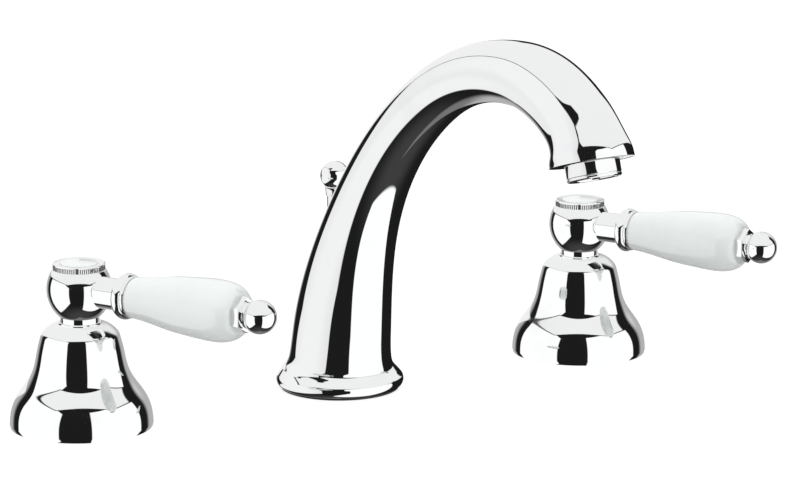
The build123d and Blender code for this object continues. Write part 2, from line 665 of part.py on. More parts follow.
def finial():
    """Hexagon, collar and ball, turned in one and tapped for the tie rod."""
    hex_end = GRIP_END + FINIAL_HEX_LENGTH
    collar_end = hex_end + 0.8
    joint = FINIAL_BALL_CENTRE - math.sqrt(FINIAL_BALL_RADIUS**2 - FINIAL_NECK_RADIUS**2)
    knob = hexagon(FINIAL_FLATS, GRIP_END, hex_end)
    knob += turned(
        Line((0, hex_end - 0.5), (FINIAL_COLLAR_RADIUS, hex_end - 0.5)),
        Line((FINIAL_COLLAR_RADIUS, hex_end - 0.5), (FINIAL_COLLAR_RADIUS, collar_end)),
        Line((FINIAL_COLLAR_RADIUS, collar_end), (FINIAL_NECK_RADIUS, joint)),
        ThreePointArc(
            (FINIAL_NECK_RADIUS, joint),
            (FINIAL_BALL_RADIUS, FINIAL_BALL_CENTRE),
            (0, FINIAL_BALL_CENTRE + FINIAL_BALL_RADIUS),
        ),
        Line((0, FINIAL_BALL_CENTRE + FINIAL_BALL_RADIUS), (0, hex_end - 0.5)),
    )
    return knob - rod(TIE_ROD_RADIUS, GRIP_END - 1, GRIP_END + FINIAL_TAP_DEPTH)


# The two valves: hot on the user's left, cold on the right, alike but for the side port,
# which faces the spout
for prefix, side in (("hot", -1), ("cold", 1)):
    x = side * HOLE_SPACING
    place = Pos(x, 0, 0)
    save(prefix + "_bell_cover", place * bell_cover())
    gasket = ring(SHANK_RADIUS + SHANK_CLEARANCE, GASKET_RADIUS, 0.0, GASKET_THICKNESS)
    save(prefix + "_deck_gasket", place * gasket)
    save(prefix + "_valve_body", place * valve_body(side))
    save(prefix + "_hose_nipple", place * hose_nipple(side))
    washer_stack(x, prefix)
    save(prefix + "_headwork", place * headwork())
    save(prefix + "_seat_seal", place * ring(5.0, DISC_RADIUS, VALVE_SEAT, 0.0))
    save(prefix + "_fixed_disc", place * port_disc(0.0, FIXED_DISC_THICKNESS))

    # The turning parts, with the lever at its closed position
    handle = place * Rot(0, 0, LEVER_ANGLE)
    moving_bottom = FIXED_DISC_THICKNESS + 0.03
    closed = Rot(0, 0, 90 - LEVER_ANGLE)
    disc = closed * port_disc(moving_bottom, MOVING_DISC_THICKNESS)
    save(prefix + "_moving_disc", handle * disc)
    save(prefix + "_spindle", handle * spindle())
    save(prefix + "_handle_hub", handle * handle_hub())
    save(prefix + "_hub_screw", handle * hub_screw())
    save(prefix + "_index_ring", handle * index_ring())
    save(prefix + "_index_disc", handle * index_disc())
    save(prefix + "_lever_stem", handle * on_lever(lever_stem()))
    tie_rod = rod(TIE_ROD_RADIUS, TIE_ROD_START + 0.5, GRIP_END + FINIAL_TAP_DEPTH - 0.5)
    save(prefix + "_tie_rod", handle * on_lever(tie_rod))
    washer = ring(TIE_ROD_RADIUS, GRIP_WASHER_RADIUS, COLLAR_END, GRIP_START)
    save(prefix + "_grip_washer", handle * on_lever(washer))
    save(prefix + "_porcelain_grip", handle * on_lever(porcelain_grip()))
    save(prefix + "_finial", handle * on_lever(finial()))
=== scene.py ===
# %% [markdown]
# # A basin mixer tap, dressed for its photograph
# The tap is three separate units on a basin deck: a swan-neck spout and two quarter-turn
# valves under bell covers, each with a white porcelain lever. Nearly everything that shows is
# polished chrome, and chrome has no colour of its own. It shows the room, bent by the shape of
# the metal. So this lesson is about two things: skins so smooth that a reflection runs over
# them without a break, and a studio worth reflecting.

import json
import math
from contextlib import contextmanager

import bmesh
import bpy
import numpy as np
from mathutils import Matrix, Vector

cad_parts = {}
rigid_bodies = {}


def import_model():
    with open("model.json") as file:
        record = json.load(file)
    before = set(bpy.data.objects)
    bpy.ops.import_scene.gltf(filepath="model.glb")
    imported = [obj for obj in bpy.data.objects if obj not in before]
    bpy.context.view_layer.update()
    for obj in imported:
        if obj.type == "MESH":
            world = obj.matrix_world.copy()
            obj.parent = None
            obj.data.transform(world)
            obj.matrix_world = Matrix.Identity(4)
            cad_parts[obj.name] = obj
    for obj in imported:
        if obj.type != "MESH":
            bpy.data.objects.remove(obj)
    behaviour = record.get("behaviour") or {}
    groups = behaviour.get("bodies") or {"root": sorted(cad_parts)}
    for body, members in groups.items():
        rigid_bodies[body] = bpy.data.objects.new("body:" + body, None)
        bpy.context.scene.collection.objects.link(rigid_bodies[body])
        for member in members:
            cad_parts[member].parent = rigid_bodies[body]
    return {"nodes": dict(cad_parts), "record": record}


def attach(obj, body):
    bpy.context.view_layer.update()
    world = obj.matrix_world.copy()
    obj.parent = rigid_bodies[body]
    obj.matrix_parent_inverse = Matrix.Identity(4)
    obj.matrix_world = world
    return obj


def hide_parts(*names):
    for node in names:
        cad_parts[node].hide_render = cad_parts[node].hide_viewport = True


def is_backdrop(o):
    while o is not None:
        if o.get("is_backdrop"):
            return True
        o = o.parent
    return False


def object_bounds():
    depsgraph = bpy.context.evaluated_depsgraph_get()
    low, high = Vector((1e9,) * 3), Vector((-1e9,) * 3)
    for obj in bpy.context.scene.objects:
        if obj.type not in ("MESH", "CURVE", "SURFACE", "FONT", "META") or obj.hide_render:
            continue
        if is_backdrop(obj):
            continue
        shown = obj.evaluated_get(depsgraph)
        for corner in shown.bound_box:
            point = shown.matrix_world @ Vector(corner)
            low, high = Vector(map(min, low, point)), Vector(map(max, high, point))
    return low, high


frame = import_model()
cad_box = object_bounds()
SLOT_OF = {part["node"]: part["material_slot"] for part in frame["record"]["subparts"]}
print("nodes in the part:", len(frame["nodes"]))
print("box of the part, mm:", [[round(c * 1000, 1) for c in corner] for corner in cad_box])

# %% [markdown]
# ## Laying nodes
# Materials, the studio's light and Geometry Nodes are all made of nodes joined by wires.
# Dragging them by hand is quick to learn but hard to read again. A small bench that lays a
# node, fills its sockets and hands back its result lets each step read as a short formula.

# %% A bench for laying nodes
MM = 0.001


class Bench:
    """Lays nodes in one tree and wires them together."""

    def __init__(self, tree):
        self.tree = tree

    def lay(self, kind, sockets=None, **settings):
        """Adds a node. Sockets are given by name or number, as a value or as another socket."""
        node = self.tree.nodes.new(kind)
        for name, value in settings.items():
            setattr(node, name, value)
        for key, value in (sockets or {}).items():
            if isinstance(value, bpy.types.NodeSocket):
                self.tree.links.new(value, node.inputs[key])
            else:
                node.inputs[key].default_value = value
        return node

    def take(self, kind, sockets=None, **settings):
        """Adds a node and hands back its first result."""
        return self.lay(kind, sockets, **settings).outputs[0]

    def math(self, operation, *numbers):
        """One sum on plain numbers."""
        return self.take("ShaderNodeMath", dict(enumerate(numbers)), operation=operation)

    def plus(self, a, b):
        """a + b"""
        return self.math("ADD", a, b)

    def minus(self, a, b):
        """a - b"""
        return self.math("SUBTRACT", a, b)

    def times(self, *factors):
        """The product of two or more numbers, or where all masks are 1."""
        product = factors[0]
        for factor in factors[1:]:
            product = self.math("MULTIPLY", product, factor)
        return product

    def over(self, a, b):
        """a / b"""
        return self.math("DIVIDE", a, b)

    def most(self, a, b):
        """The larger one."""
        return self.math("MAXIMUM", a, b)

    def xyz(self, **parts):
        """A vector from its parts."""
        return self.take("ShaderNodeCombineXYZ", parts)

    def vector(self, operation, a, b=(0.0, 0.0, 0.0)):
        """One sum on vectors."""
        node = self.lay("ShaderNodeVectorMath", {0: a, 1: b}, operation=operation)
        return node.outputs["Value" if operation == "DOT_PRODUCT" else "Vector"]

    def ramp(self, value, low, high, to_low=0.0, to_high=1.0, soft=True):
        """Moves a number from one range to another, with gentle ends or straight."""
        return self.take(
            "ShaderNodeMapRange",
            {0: value, 1: low, 2: high, 3: to_low, 4: to_high},
            interpolation_type="SMOOTHSTEP" if soft else "LINEAR",
        )

    def mix(self, share, a, b):
        """Blends two colours."""
        node = self.lay("ShaderNodeMix", {0: share, 6: a, 7: b}, data_type="RGBA")
        return node.outputs[2]


def new_tree(name, kind, inputs, outputs):
    """A node tree with named sockets, its bench, and the values that it is given."""
    tree = bpy.data.node_groups.new(name, kind)
    for direction, named in (("INPUT", inputs), ("OUTPUT", outputs)):
        for label, socket in named.items():
            tree.interface.new_socket(
                name=label.replace("_", " "), in_out=direction, socket_type="NodeSocket" + socket
            )
    bench = Bench(tree)
    return tree, bench, bench.lay("NodeGroupInput").outputs


def bare_bench(holder):
    """The empty bench of a material or world."""
    holder.use_nodes = True
    holder.node_tree.nodes.clear()
    return Bench(holder.node_tree)


print("bench ready")

# %% [markdown]
# ## Effects that several finishes share
# Even a new tap isn't perfectly clean. Polishing leaves the surface a breath away from flat,
# and handling leaves a faint haze here and there. Turned brass and steel carry fine rings from
# the cutting tool. Each effect is a node group, built once and placed in every material that
# needs it, with its own values. A group gives out masks and heights only, and the shader that
# uses them stays in the material.

# %% Haze from handling, and the slight waviness of polish
haze_group, lay, asked = new_tree(
    "handling_haze",
    "ShaderNodeTree",
    dict(Patch_Scale="Float", Wave_Scale="Float", Spread="Float"),
    dict(Haze="Float", Speck="Float", Wave="Float"),
)
NOISE = "ShaderNodeTexNoise"
spot = lay.lay("ShaderNodeTexCoord").outputs["Object"]
patches = lay.take(
    NOISE, {"Vector": spot, "Scale": asked["Patch Scale"], "Detail": 4.0, "Roughness": 0.62}
)
haze = lay.ramp(patches, lay.minus(0.62, asked["Spread"]), 0.78)
fine_scale = lay.times(asked["Patch Scale"], 22.0)
specks = lay.take(NOISE, {"Vector": spot, "Scale": fine_scale, "Detail": 2.0})
speck = lay.ramp(specks, 0.68, 0.76)
waves = lay.take(
    NOISE, {"Vector": spot, "Scale": asked["Wave Scale"], "Detail": 1.0, "Roughness": 0.4}
)
lay.lay("NodeGroupOutput", {"Haze": haze, "Speck": speck, "Wave": waves})
print("group", haze_group.name, "with", len(haze_group.nodes), "nodes")

# %% Rings left by a cutting tool, stacked along one axis
ring_group, lay, asked = new_tree(
    "tool_rings",
    "ShaderNodeTree",
    dict(Axis="Vector", Rings_Per_Metre="Float"),
    dict(Groove="Float", Tone="Float"),
)
spot = lay.lay("ShaderNodeTexCoord").outputs["Object"]
step = lay.times(lay.vector("DOT_PRODUCT", spot, asked["Axis"]), asked["Rings Per Metre"])
grooves = lay.take(NOISE, {"Vector": lay.xyz(Z=step), "Scale": 1.0, "Detail": 3.0})
tone_line = lay.xyz(X=3.7, Z=lay.times(step, 0.11))
tone = lay.ramp(lay.take(NOISE, {"Vector": tone_line, "Scale": 1.0}), 0.35, 0.65)
lay.lay("NodeGroupOutput", {"Groove": grooves, "Tone": tone})
print("group", ring_group.name, "with", len(ring_group.nodes), "nodes")

# %% [markdown]
# ## The finishes
# Every finish is one Principled shader. What is the same all over the surface, such as the
# index of refraction or the gloss of a glaze, is typed on the shader itself. What varies over
# the surface comes from the groups.


# %% A blank material with the groups at hand
class Finish:
    """A material with one Principled shader and its bench."""

    def __init__(self, name, **shader):
        self.material = bpy.data.materials.new(name)
        self.material.use_nodes = True
        self.lay = Bench(self.material.node_tree)
        self.shader = self.material.node_tree.nodes["Principled BSDF"]
        for key, value in shader.items():
            self.shader.inputs[key.replace("_", " ")].default_value = value

    def wire(self, socket, value):
        """Lets a result drive one of the shader's sockets."""
        self.material.node_tree.links.new(value, self.shader.inputs[socket])

    def group(self, tree, values):
        """Places a shared effect with its own values."""
        return self.lay.lay("ShaderNodeGroup", values, node_tree=tree).outputs

    def bump(self, height, strength, distance):
        """Lets a height tilt the surface, by at most a distance in metres."""
        values = {"Height": height, "Strength": strength, "Distance": distance}
        self.wire("Normal", self.lay.take("ShaderNodeBump", values))


# %% [markdown]
# Chrome plate is laid over polished brass. It is almost white, reflects like a mirror and is
# a touch softer where hands have been. Its waviness is far too small to see as a shape, and
# only makes the edge of a long reflection a little alive.

# %% Chrome plate
chrome = Finish("chrome_plate", Metallic=1.0)
haze = chrome.group(haze_group, {"Patch Scale": 34.0, "Wave Scale": 60.0, "Spread": 0.1})
CLEAN_CHROME = (0.93, 0.935, 0.94, 1.0)
HAZY_CHROME = (0.885, 0.89, 0.9, 1.0)
chrome.wire("Base Color", chrome.lay.mix(haze["Haze"], CLEAN_CHROME, HAZY_CHROME))
gloss = chrome.lay.ramp(haze["Haze"], 0.0, 1.0, 0.022, 0.06)
gloss = chrome.lay.plus(gloss, chrome.lay.times(haze["Speck"], 0.03))
chrome.wire("Roughness", gloss)
chrome.bump(haze["Wave"], 0.02, 0.0005)
print("made", chrome.material.name)

# %% Painted shade at the bottom of the knurl's grooves: a dark, rough plate in place of their shadow
painted_root_shade = Finish("unpolished_plate", Metallic=1.0)
haze = painted_root_shade.group(haze_group, {"Patch Scale": 90.0, "Wave Scale": 300.0, "Spread": 0.2})
# Two dark tones of painted shade for the grooves, mixed in random patches
PALE_ROOT_SHADE, DEEP_ROOT_SHADE = (0.2, 0.2, 0.205, 1.0), (0.1, 0.1, 0.105, 1.0)
painted_root_shade.wire("Base Color", painted_root_shade.lay.mix(haze["Haze"], PALE_ROOT_SHADE, DEEP_ROOT_SHADE))
painted_root_shade.wire("Roughness", painted_root_shade.lay.ramp(haze["Haze"], 0.0, 1.0, 0.4, 0.55))
print("made", painted_root_shade.material.name)

# %% [markdown]
# Glazed porcelain is white clay under clear glass. The clay shades softly and lets a little
# light sink in, and the glaze over it is sharp. A coat layer is the glaze, so highlights stay
# crisp whatever the clay does.

# %% Glazed porcelain
porcelain = Finish(
    "white_porcelain",
    IOR=1.5,
    Coat_Weight=0.6,
    Coat_Roughness=0.03,
    Subsurface_Weight=0.12,
    Subsurface_Scale=0.002,
    Subsurface_Radius=(0.5, 0.5, 0.5),
)
haze = porcelain.group(haze_group, {"Patch Scale": 55.0, "Wave Scale": 110.0, "Spread": 0.22})
GLAZE_WHITE = (0.865, 0.905, 0.89, 1.0)
GLAZE_SHADE = (0.83, 0.87, 0.855, 1.0)
porcelain.wire("Base Color", porcelain.lay.mix(haze["Haze"], GLAZE_WHITE, GLAZE_SHADE))
porcelain.wire("Roughness", porcelain.lay.ramp(haze["Haze"], 0.0, 1.0, 0.14, 0.22))
porcelain.bump(haze["Wave"], 0.05, 0.0004)
print("made", porcelain.material.name)

# %% [markdown]
# What hangs under the deck is never polished. The brass keeps the rings of the lathe and
# dulls in patches, and the washers and screws are plated steel. The rings run across the axis
# of each piece, so the group is told which way that axis points.


# %% Machined brass and steel
def machined(name, bright, dull, axis, rings, rough):
    """Metal straight from the lathe, with its rings square to one axis."""
    finish = Finish(name, Metallic=1.0)
    marks = finish.group(ring_group, {"Axis": axis, "Rings Per Metre": rings})
    patch = finish.group(haze_group, {"Patch Scale": 48.0, "Wave Scale": 90.0, "Spread": 0.24})
    toned = finish.lay.mix(marks["Tone"], bright, [c * 0.93 for c in bright[:3]] + [1.0])
    finish.wire("Base Color", finish.lay.mix(patch["Haze"], toned, dull))
    finish.wire("Roughness", finish.lay.ramp(patch["Haze"], 0.0, 1.0, rough, rough + 0.16))
    finish.bump(marks["Groove"], 0.25, 0.00006)
    return finish.material


UPRIGHT, SLANT = (0.0, 0.0, 1.0), math.sqrt(0.5)
BRASS, DULL_BRASS = (0.80, 0.62, 0.34, 1.0), (0.60, 0.45, 0.26, 1.0)
STEEL, DULL_STEEL = (0.62, 0.62, 0.62, 1.0), (0.47, 0.47, 0.48, 1.0)
brass = machined("turned_brass", BRASS, DULL_BRASS, UPRIGHT, 5200.0, 0.24)
brass_outlet = {
    prefix: machined(
        "turned_brass_" + prefix, BRASS, DULL_BRASS, (SLANT, way * SLANT, 0.0), 5200.0, 0.24
    )
    for prefix, way in (("hot", 1), ("cold", -1))
}
steel = machined("plated_steel", STEEL, DULL_STEEL, UPRIGHT, 7000.0, 0.27)
print("made", brass.name, steel.name, [m.name for m in brass_outlet.values()])


# %% Rubber, moulded plastic and lapped ceramic
def moulded(name, colour, worn, rough, grain_scale, grain, **shader):
    """A non-metal with a fine grain and faint worn patches."""
    finish = Finish(name, **shader)
    patch = finish.group(
        haze_group, {"Patch Scale": 60.0, "Wave Scale": grain_scale, "Spread": 0.25}
    )
    finish.wire("Base Color", finish.lay.mix(patch["Haze"], colour, worn))
    finish.wire("Roughness", finish.lay.ramp(patch["Speck"], 0.0, 1.0, rough, rough + 0.1))
    finish.bump(patch["Wave"], grain, 0.0001)
    return finish.material


rubber = moulded(
    "black_rubber", (0.022, 0.022, 0.023, 1), (0.045, 0.045, 0.046, 1), 0.55, 1400.0, 0.5
)
plastic = moulded(
    "pale_plastic", (0.80, 0.81, 0.80, 1), (0.74, 0.75, 0.74, 1), 0.38, 900.0, 0.25
)
lapped = moulded(
    "lapped_ceramic", (0.92, 0.91, 0.87, 1), (0.86, 0.85, 0.81, 1), 0.2, 1800.0, 0.1
)
FINISH_OF_SLOT = {
    "chrome": chrome.material, "porcelain": porcelain.material, "brass": brass, "steel": steel,
    "rubber": rubber, "plastic": plastic, "alumina": lapped,
}
print("finishes:", sorted(FINISH_OF_SLOT))

# %% Every solid of the part gets the finish of its slot
for node, solid in frame["nodes"].items():
    solid.data.materials.clear()
    solid.data.materials.append(FINISH_OF_SLOT[SLOT_OF[node]])
print("finishes given to", len(frame["nodes"]), "solids")

# %% [markdown]
# ## One rule for every round skin
# A bell, a hub, a grip and the swan neck itself follow one rule: a stack of circles, each
# with its own centre, size and tilt, with a skin drawn over them. A turned piece has its
# circles on a straight axis, and the spout has them along a curve. A modifier such as Screw
# could turn a profile, and Curve to Mesh could sweep one, but neither lets a circle keep a
# tilt of its own, which the spout's foot needs. So the rule is a Geometry Nodes tree: a flat
# grid is wrapped over the circles, row by row, and its edges are merged.

# %% The tree that wraps a grid over a stack of circles
def dressed(lay, geometry, finish):
    """The last step of a tree: its instances made real and given their finish."""
    real = lay.take("GeometryNodeRealizeInstances", {"Geometry": geometry})
    return lay.take("GeometryNodeSetMaterial", {"Geometry": real, "Material": finish})


skin_tree, lay, asked = new_tree(
    "round_skin",
    "GeometryNodeTree",
    dict(Stack="Geometry", Sides="Int", Weld="Float", Finish="Material"),
    dict(Skin="Geometry"),
)
stack = asked["Stack"]
count = lay.lay("GeometryNodeAttributeDomainSize", {0: stack}).outputs["Point Count"]
around = lay.plus(asked["Sides"], 1.0)
grid = lay.take("GeometryNodeMeshGrid", {"Vertices X": count, "Vertices Y": around})
index = lay.take("GeometryNodeInputIndex")
row = lay.math("FLOOR", lay.over(lay.plus(index, 0.5), around))
column = lay.minus(index, lay.times(row, around))
angle = lay.over(lay.times(column, 2 * math.pi), asked["Sides"])


def of_circle(name, kind):
    """What the stack says of this row's circle."""
    value = lay.take("GeometryNodeInputNamedAttribute", {"Name": name}, data_type=kind)
    wanted = {"Geometry": stack, "Value": value, "Index": row}
    return lay.take("GeometryNodeSampleIndex", wanted, data_type=kind)


centre = of_circle("centre", "FLOAT_VECTOR")
across = of_circle("across", "FLOAT_VECTOR")
reach = of_circle("reach", "FLOAT")
east = lay.times(lay.math("COSINE", angle), reach)
north = lay.times(lay.math("SINE", angle), reach)
scaled = lay.lay("ShaderNodeVectorMath", {0: across, "Scale": north}, operation="SCALE")
spot = lay.vector("ADD", centre, lay.vector("ADD", lay.xyz(X=east), scaled.outputs["Vector"]))
wrapped = lay.take("GeometryNodeSetPosition", {"Geometry": grid, "Position": spot})
welded = lay.take(
    "GeometryNodeMergeByDistance", {"Geometry": wrapped, "Distance": asked["Weld"]}
)
lay.lay("NodeGroupOutput", {0: dressed(lay, welded, asked["Finish"])})
print("tree", skin_tree.name, "with", len(skin_tree.nodes), "nodes")


# %% Running a tree once and keeping a plain mesh
def put(name, data):
    """Puts a new object in the scene."""
    made = bpy.data.objects.new(name, data)
    bpy.context.scene.collection.objects.link(made)
    return made


def settled(piece):
    """The plain mesh that a piece's modifiers make, once they are taken off."""
    shown = piece.evaluated_get(bpy.context.evaluated_depsgraph_get())
    mesh = bpy.data.meshes.new_from_object(shown)
    piece.modifiers.clear()
    return mesh


@contextmanager
def editing(mesh):
    """Opens a mesh for editing and stores what was done."""
    work = bmesh.new()
    work.from_mesh(mesh)
    yield work
    work.to_mesh(mesh)
    work.free()


def grow(name, tree, values, seed_mesh=None):
    """Runs a Geometry Nodes tree on a seed mesh and keeps its result as a plain mesh."""
    holder = put(name + "_holder", seed_mesh or bpy.data.meshes.new(name))
    modifier = holder.modifiers.new("grow", "NODES")
    modifier.node_group = tree
    for item in tree.interface.items_tree:
        if item.in_out == "INPUT" and item.name in values:
            modifier[item.identifier] = values[item.name]
    made = put(name, settled(holder))
    bpy.data.objects.remove(holder)
    made.data.name = name
    return made


CREASE = math.radians(32)


def point_outwards(mesh, crease=CREASE):
    """Turns all faces outwards, shades them smooth and keeps real edges sharp."""
    with editing(mesh) as work:
        bmesh.ops.remove_doubles(work, verts=work.verts, dist=1e-7)
        bmesh.ops.dissolve_degenerate(work, edges=work.edges, dist=1e-8)
        bmesh.ops.recalc_face_normals(work, faces=work.faces)
    mesh.shade_smooth()
    mesh.set_sharp_from_angle(angle=crease)
    for attribute in [a for a in mesh.attributes if a.name in ("centre", "across", "reach")]:
        mesh.attributes.remove(attribute)


def round_skin(name, circles, finish, sides=128, place=None):
    """Draws a skin over circles given as (centre, across, reach), in millimetres."""
    seed = bpy.data.meshes.new(name + "_circles")
    seed.from_pydata([(0, 0, i) for i in range(len(circles))], [], [])
    for key, kind, column in (
        ("centre", "FLOAT_VECTOR", 0),
        ("across", "FLOAT_VECTOR", 1),
        ("reach", "FLOAT", 2),
    ):
        scale = 1.0 if key == "across" else MM
        values = np.array([c[column] for c in circles], np.float32).ravel() * scale
        attribute = seed.attributes.new(key, kind, "POINT")
        attribute.data.foreach_set("value" if kind == "FLOAT" else "vector", values)
    made = grow(name, skin_tree, {"Sides": sides, "Weld": 2e-7, "Finish": finish}, seed)
    if place is not None:
        made.data.transform(place)
    point_outwards(made.data)
    return made


print("round skins can be made")

# %% [markdown]
# ## Outlines
# A turner's drawing is made of straight lines, arcs and a few free curves, and no corner on a
# polished piece is ever perfectly sharp. Three small tools make such outlines: an arc through
# three points, a smooth curve that starts and ends in a given direction, and one that rounds
# every corner that is left.


# %% Drawing outlines in radius and height
def arc(a, b, c, steps=16):
    """Points on the arc from a through b to c."""
    (ax, ay), (bx, by), (cx, cy) = a, b, c
    d = 2 * (ax * (by - cy) + bx * (cy - ay) + cx * (ay - by))
    sa, sb, sc = ax**2 + ay**2, bx**2 + by**2, cx**2 + cy**2
    x = (sa * (by - cy) + sb * (cy - ay) + sc * (ay - by)) / d
    y = (sa * (cx - bx) + sb * (ax - cx) + sc * (bx - ax)) / d
    radius = math.hypot(ax - x, ay - y)
    start, middle, end = (math.atan2(q - y, p - x) for p, q in (a, b, c))
    turn = (end - start) % (2 * math.pi)
    if (middle - start) % (2 * math.pi) > turn:
        turn -= 2 * math.pi
    angles = [start + turn * i / steps for i in range(steps + 1)]
    return [(x + radius * math.cos(t), y + radius * math.sin(t)) for t in angles]


def flowing(points, leave=None, arrive=None, steps=10):
    """A smooth curve through points, leaving and arriving in given directions."""
    p = np.array(points, float)
    n = len(p)
    gap = np.linalg.norm(np.diff(p, axis=0), axis=1)
    slope = np.diff(p, axis=0) / gap[:, None]
    grid_matrix, right = np.zeros((n, n)), np.zeros((n, p.shape[1]))
    for i in range(1, n - 1):
        grid_matrix[i, i - 1 : i + 2] = gap[i], 2 * (gap[i - 1] + gap[i]), gap[i - 1]
        right[i] = 3 * (gap[i] * slope[i - 1] + gap[i - 1] * slope[i])
    for i, way, near in ((0, leave, 1), (n - 1, arrive, n - 2)):
        if way is None:
            grid_matrix[i, i], grid_matrix[i, near] = 2, 1
            right[i] = 3 * slope[0 if i == 0 else -1]
        else:
            grid_matrix[i, i] = 1
            right[i] = np.array(way, float) / np.linalg.norm(way)
    speed = np.linalg.solve(grid_matrix, right)
    out = []
    for i in range(n - 1):
        t = np.linspace(0, 1, steps + 1)[: None if i == n - 2 else -1, None]
        h = gap[i]
        out += list(
            (1 + 2 * t) * (1 - t) ** 2 * p[i]
            + t * (1 - t) ** 2 * h * speed[i]
            + t**2 * (3 - 2 * t) * p[i + 1]
            + t**2 * (t - 1) * h * speed[i + 1]
        )
    return [tuple(float(c) for c in point) for point in out]


SHARP_CORNER, SIDE_SHARE = math.radians(22), 0.42


def eased(outline, radius=0.25, steps=4):
    """Rounds every sharp corner, with a limited share of its shorter side."""
    kept = [outline[0]]
    for point in outline[1:]:
        if math.dist(point, kept[-1]) > 1e-4:
            kept.append(point)
    out = [kept[0]]
    for before, corner, after in zip(kept, kept[1:], kept[2:]):
        a, b, c = (np.array(v, float) for v in (before, corner, after))
        u, v = a - b, c - b
        lu, lv = np.linalg.norm(u), np.linalg.norm(v)
        turn = math.pi - math.acos(max(-1.0, min(1.0, float(u @ v) / (lu * lv))))
        if turn < SHARP_CORNER:
            out.append(corner)
            continue
        cut = min(radius * math.tan(turn / 2), SIDE_SHARE * lu, SIDE_SHARE * lv)
        start, end = b + u / lu * cut, b + v / lv * cut
        for t in np.linspace(0, 1, steps + 1):
            out.append(tuple((1 - t) ** 2 * start + 2 * t * (1 - t) * b + t**2 * end))
    return out + [kept[-1]]


def turned(name, outline, finish, place=None, sides=128, ease=0.25):
    """A turned piece from its outline, given as (radius, height) in millimetres."""
    circles = [((0, 0, z), (0, 1, 0), max(r, 0.0)) for r, z in eased(outline, ease)]
    return round_skin(name, circles, finish, sides, place)


def joined(first, *others):
    """Adds the meshes of other pieces to the first one and drops the others."""
    with editing(first.data) as work:
        for piece in others:
            work.from_mesh(piece.data)
    for piece in others:
        bpy.data.objects.remove(piece)
    return first


def fit(piece, body, slot, *nodes):
    """Hands a finished piece to the body it moves with, in place of its plain solids."""
    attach(piece, body)
    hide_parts(*nodes)
    return piece


def place(x=0.0, y=0.0, z=0.0, *turns):
    """A place in millimetres, with turns given as (degrees, axis)."""
    matrix = Matrix.Translation((x * MM, y * MM, z * MM))
    for degrees, axis in turns:
        matrix = matrix @ Matrix.Rotation(math.radians(degrees), 4, axis)
    return matrix


print("a quarter arc of 10 mm has", len(arc((10, 0), (7.07, 7.07), (0, 10))), "points")

# %% [markdown]
# ## The spout
# The real one is a casting, ground and polished by hand, so nothing on it is a plain tube. Its
# centreline is four arcs that run into one another without a kink, and the section tapers from
# the foot to the crown and swells again to the mouth. The lowest circles lie flat on the deck
# and only then start to tilt with the curve, which is why each circle has its own tilt.

# %% The spout's centreline
SPINE_ARCS = ((150.4, 60.0), (110.0, 30.0), (62.0, 35.0), (26.6, 37.3))
SPOUT_LENGTH = sum(math.radians(turn) * radius for radius, turn in SPINE_ARCS)


def spine(distance):
    """Centre (y, z) and heading of the spout's curve at a distance from its foot."""
    y, z, heading = 0.0, 0.0, math.pi / 2
    left = distance
    for radius, turn in SPINE_ARCS:
        part = min(left, math.radians(turn) * radius)
        cy, cz = y - radius * math.sin(heading), z + radius * math.cos(heading)
        heading += part / radius
        y, z = cy + radius * math.sin(heading), cz - radius * math.cos(heading)
        left -= part
        if left <= 0:
            break
    return y, z, heading


MOUTH_Y, MOUTH_Z, MOUTH_HEADING = spine(SPOUT_LENGTH)
print("spout length along its curve:", round(SPOUT_LENGTH, 2), "mm")
print("middle of the mouth:", round(MOUTH_Y, 2), round(MOUTH_Z, 2), "mm")

# %% Its circles, from the sole of the foot to the thread in the mouth
SEAL_THICKNESS = 1.0
FLANGE_TOP = 5.2
FOOT_SOLE = [(0.0, SEAL_THICKNESS), (24.2, SEAL_THICKNESS)]
FOOT_EDGE = arc((24.2, SEAL_THICKNESS), (25.4, 3.2), (24.9, FLANGE_TOP), 12)
NECK_STATIONS = (
    (24.9, FLANGE_TOP), (23.0, 7.6), (21.2, 10.0), (20.45, 12.4), (20.1, 15.0), (19.45, 25.0),
    (17.7, 45.0), (15.0, 70.0), (12.8, 100.0), (11.6, 135.0), (11.1, 170.0), (11.65, 205.0),
    (12.8, 235.0), (13.2, SPOUT_LENGTH - 15.5), (13.65, SPOUT_LENGTH - 9.4),
    (14.35, SPOUT_LENGTH - 5.8), (15.15, SPOUT_LENGTH - 2.8), (15.4, SPOUT_LENGTH),
)
MOUTH_BORE, MOUTH_DEPTH, FOOT_SETTLES = 9.3, 9.0, 2.4
neck_line = flowing(NECK_STATIONS, steps=22)
mouth_line = [
    (MOUTH_BORE, SPOUT_LENGTH),
    (MOUTH_BORE, SPOUT_LENGTH - MOUTH_DEPTH),
    (0.0, SPOUT_LENGTH - MOUTH_DEPTH),
]
spout_outline = eased(FOOT_SOLE + FOOT_EDGE + neck_line + mouth_line, 0.4, 6)


def spout_circle(radius, distance):
    """A circle that lies flat in the foot and is square to the curve above it."""
    y, z, heading = spine(distance)
    settle = min(1.0, max(0.0, (distance - FLANGE_TOP) / FOOT_SETTLES))
    tilt = (heading - math.pi / 2) * settle
    y = y * settle
    z = distance + (z - distance) * settle
    return (0.0, y, z), (0.0, math.cos(tilt), math.sin(tilt)), radius


spout = round_skin(
    "spout",
    [spout_circle(max(r, 0.0), s) for r, s in spout_outline],
    chrome.material,
    sides=160,
)
print("spout:", len(spout_outline), "circles,", len(spout.data.polygons), "faces")

# %% [markdown]
# The lift rod comes out through the spout's curved back. On the casting this is a drilled
# hole, so here a cylinder is taken out of the skin with a Boolean, which leaves the long
# sharp-edged oval that a drill leaves on a slope.

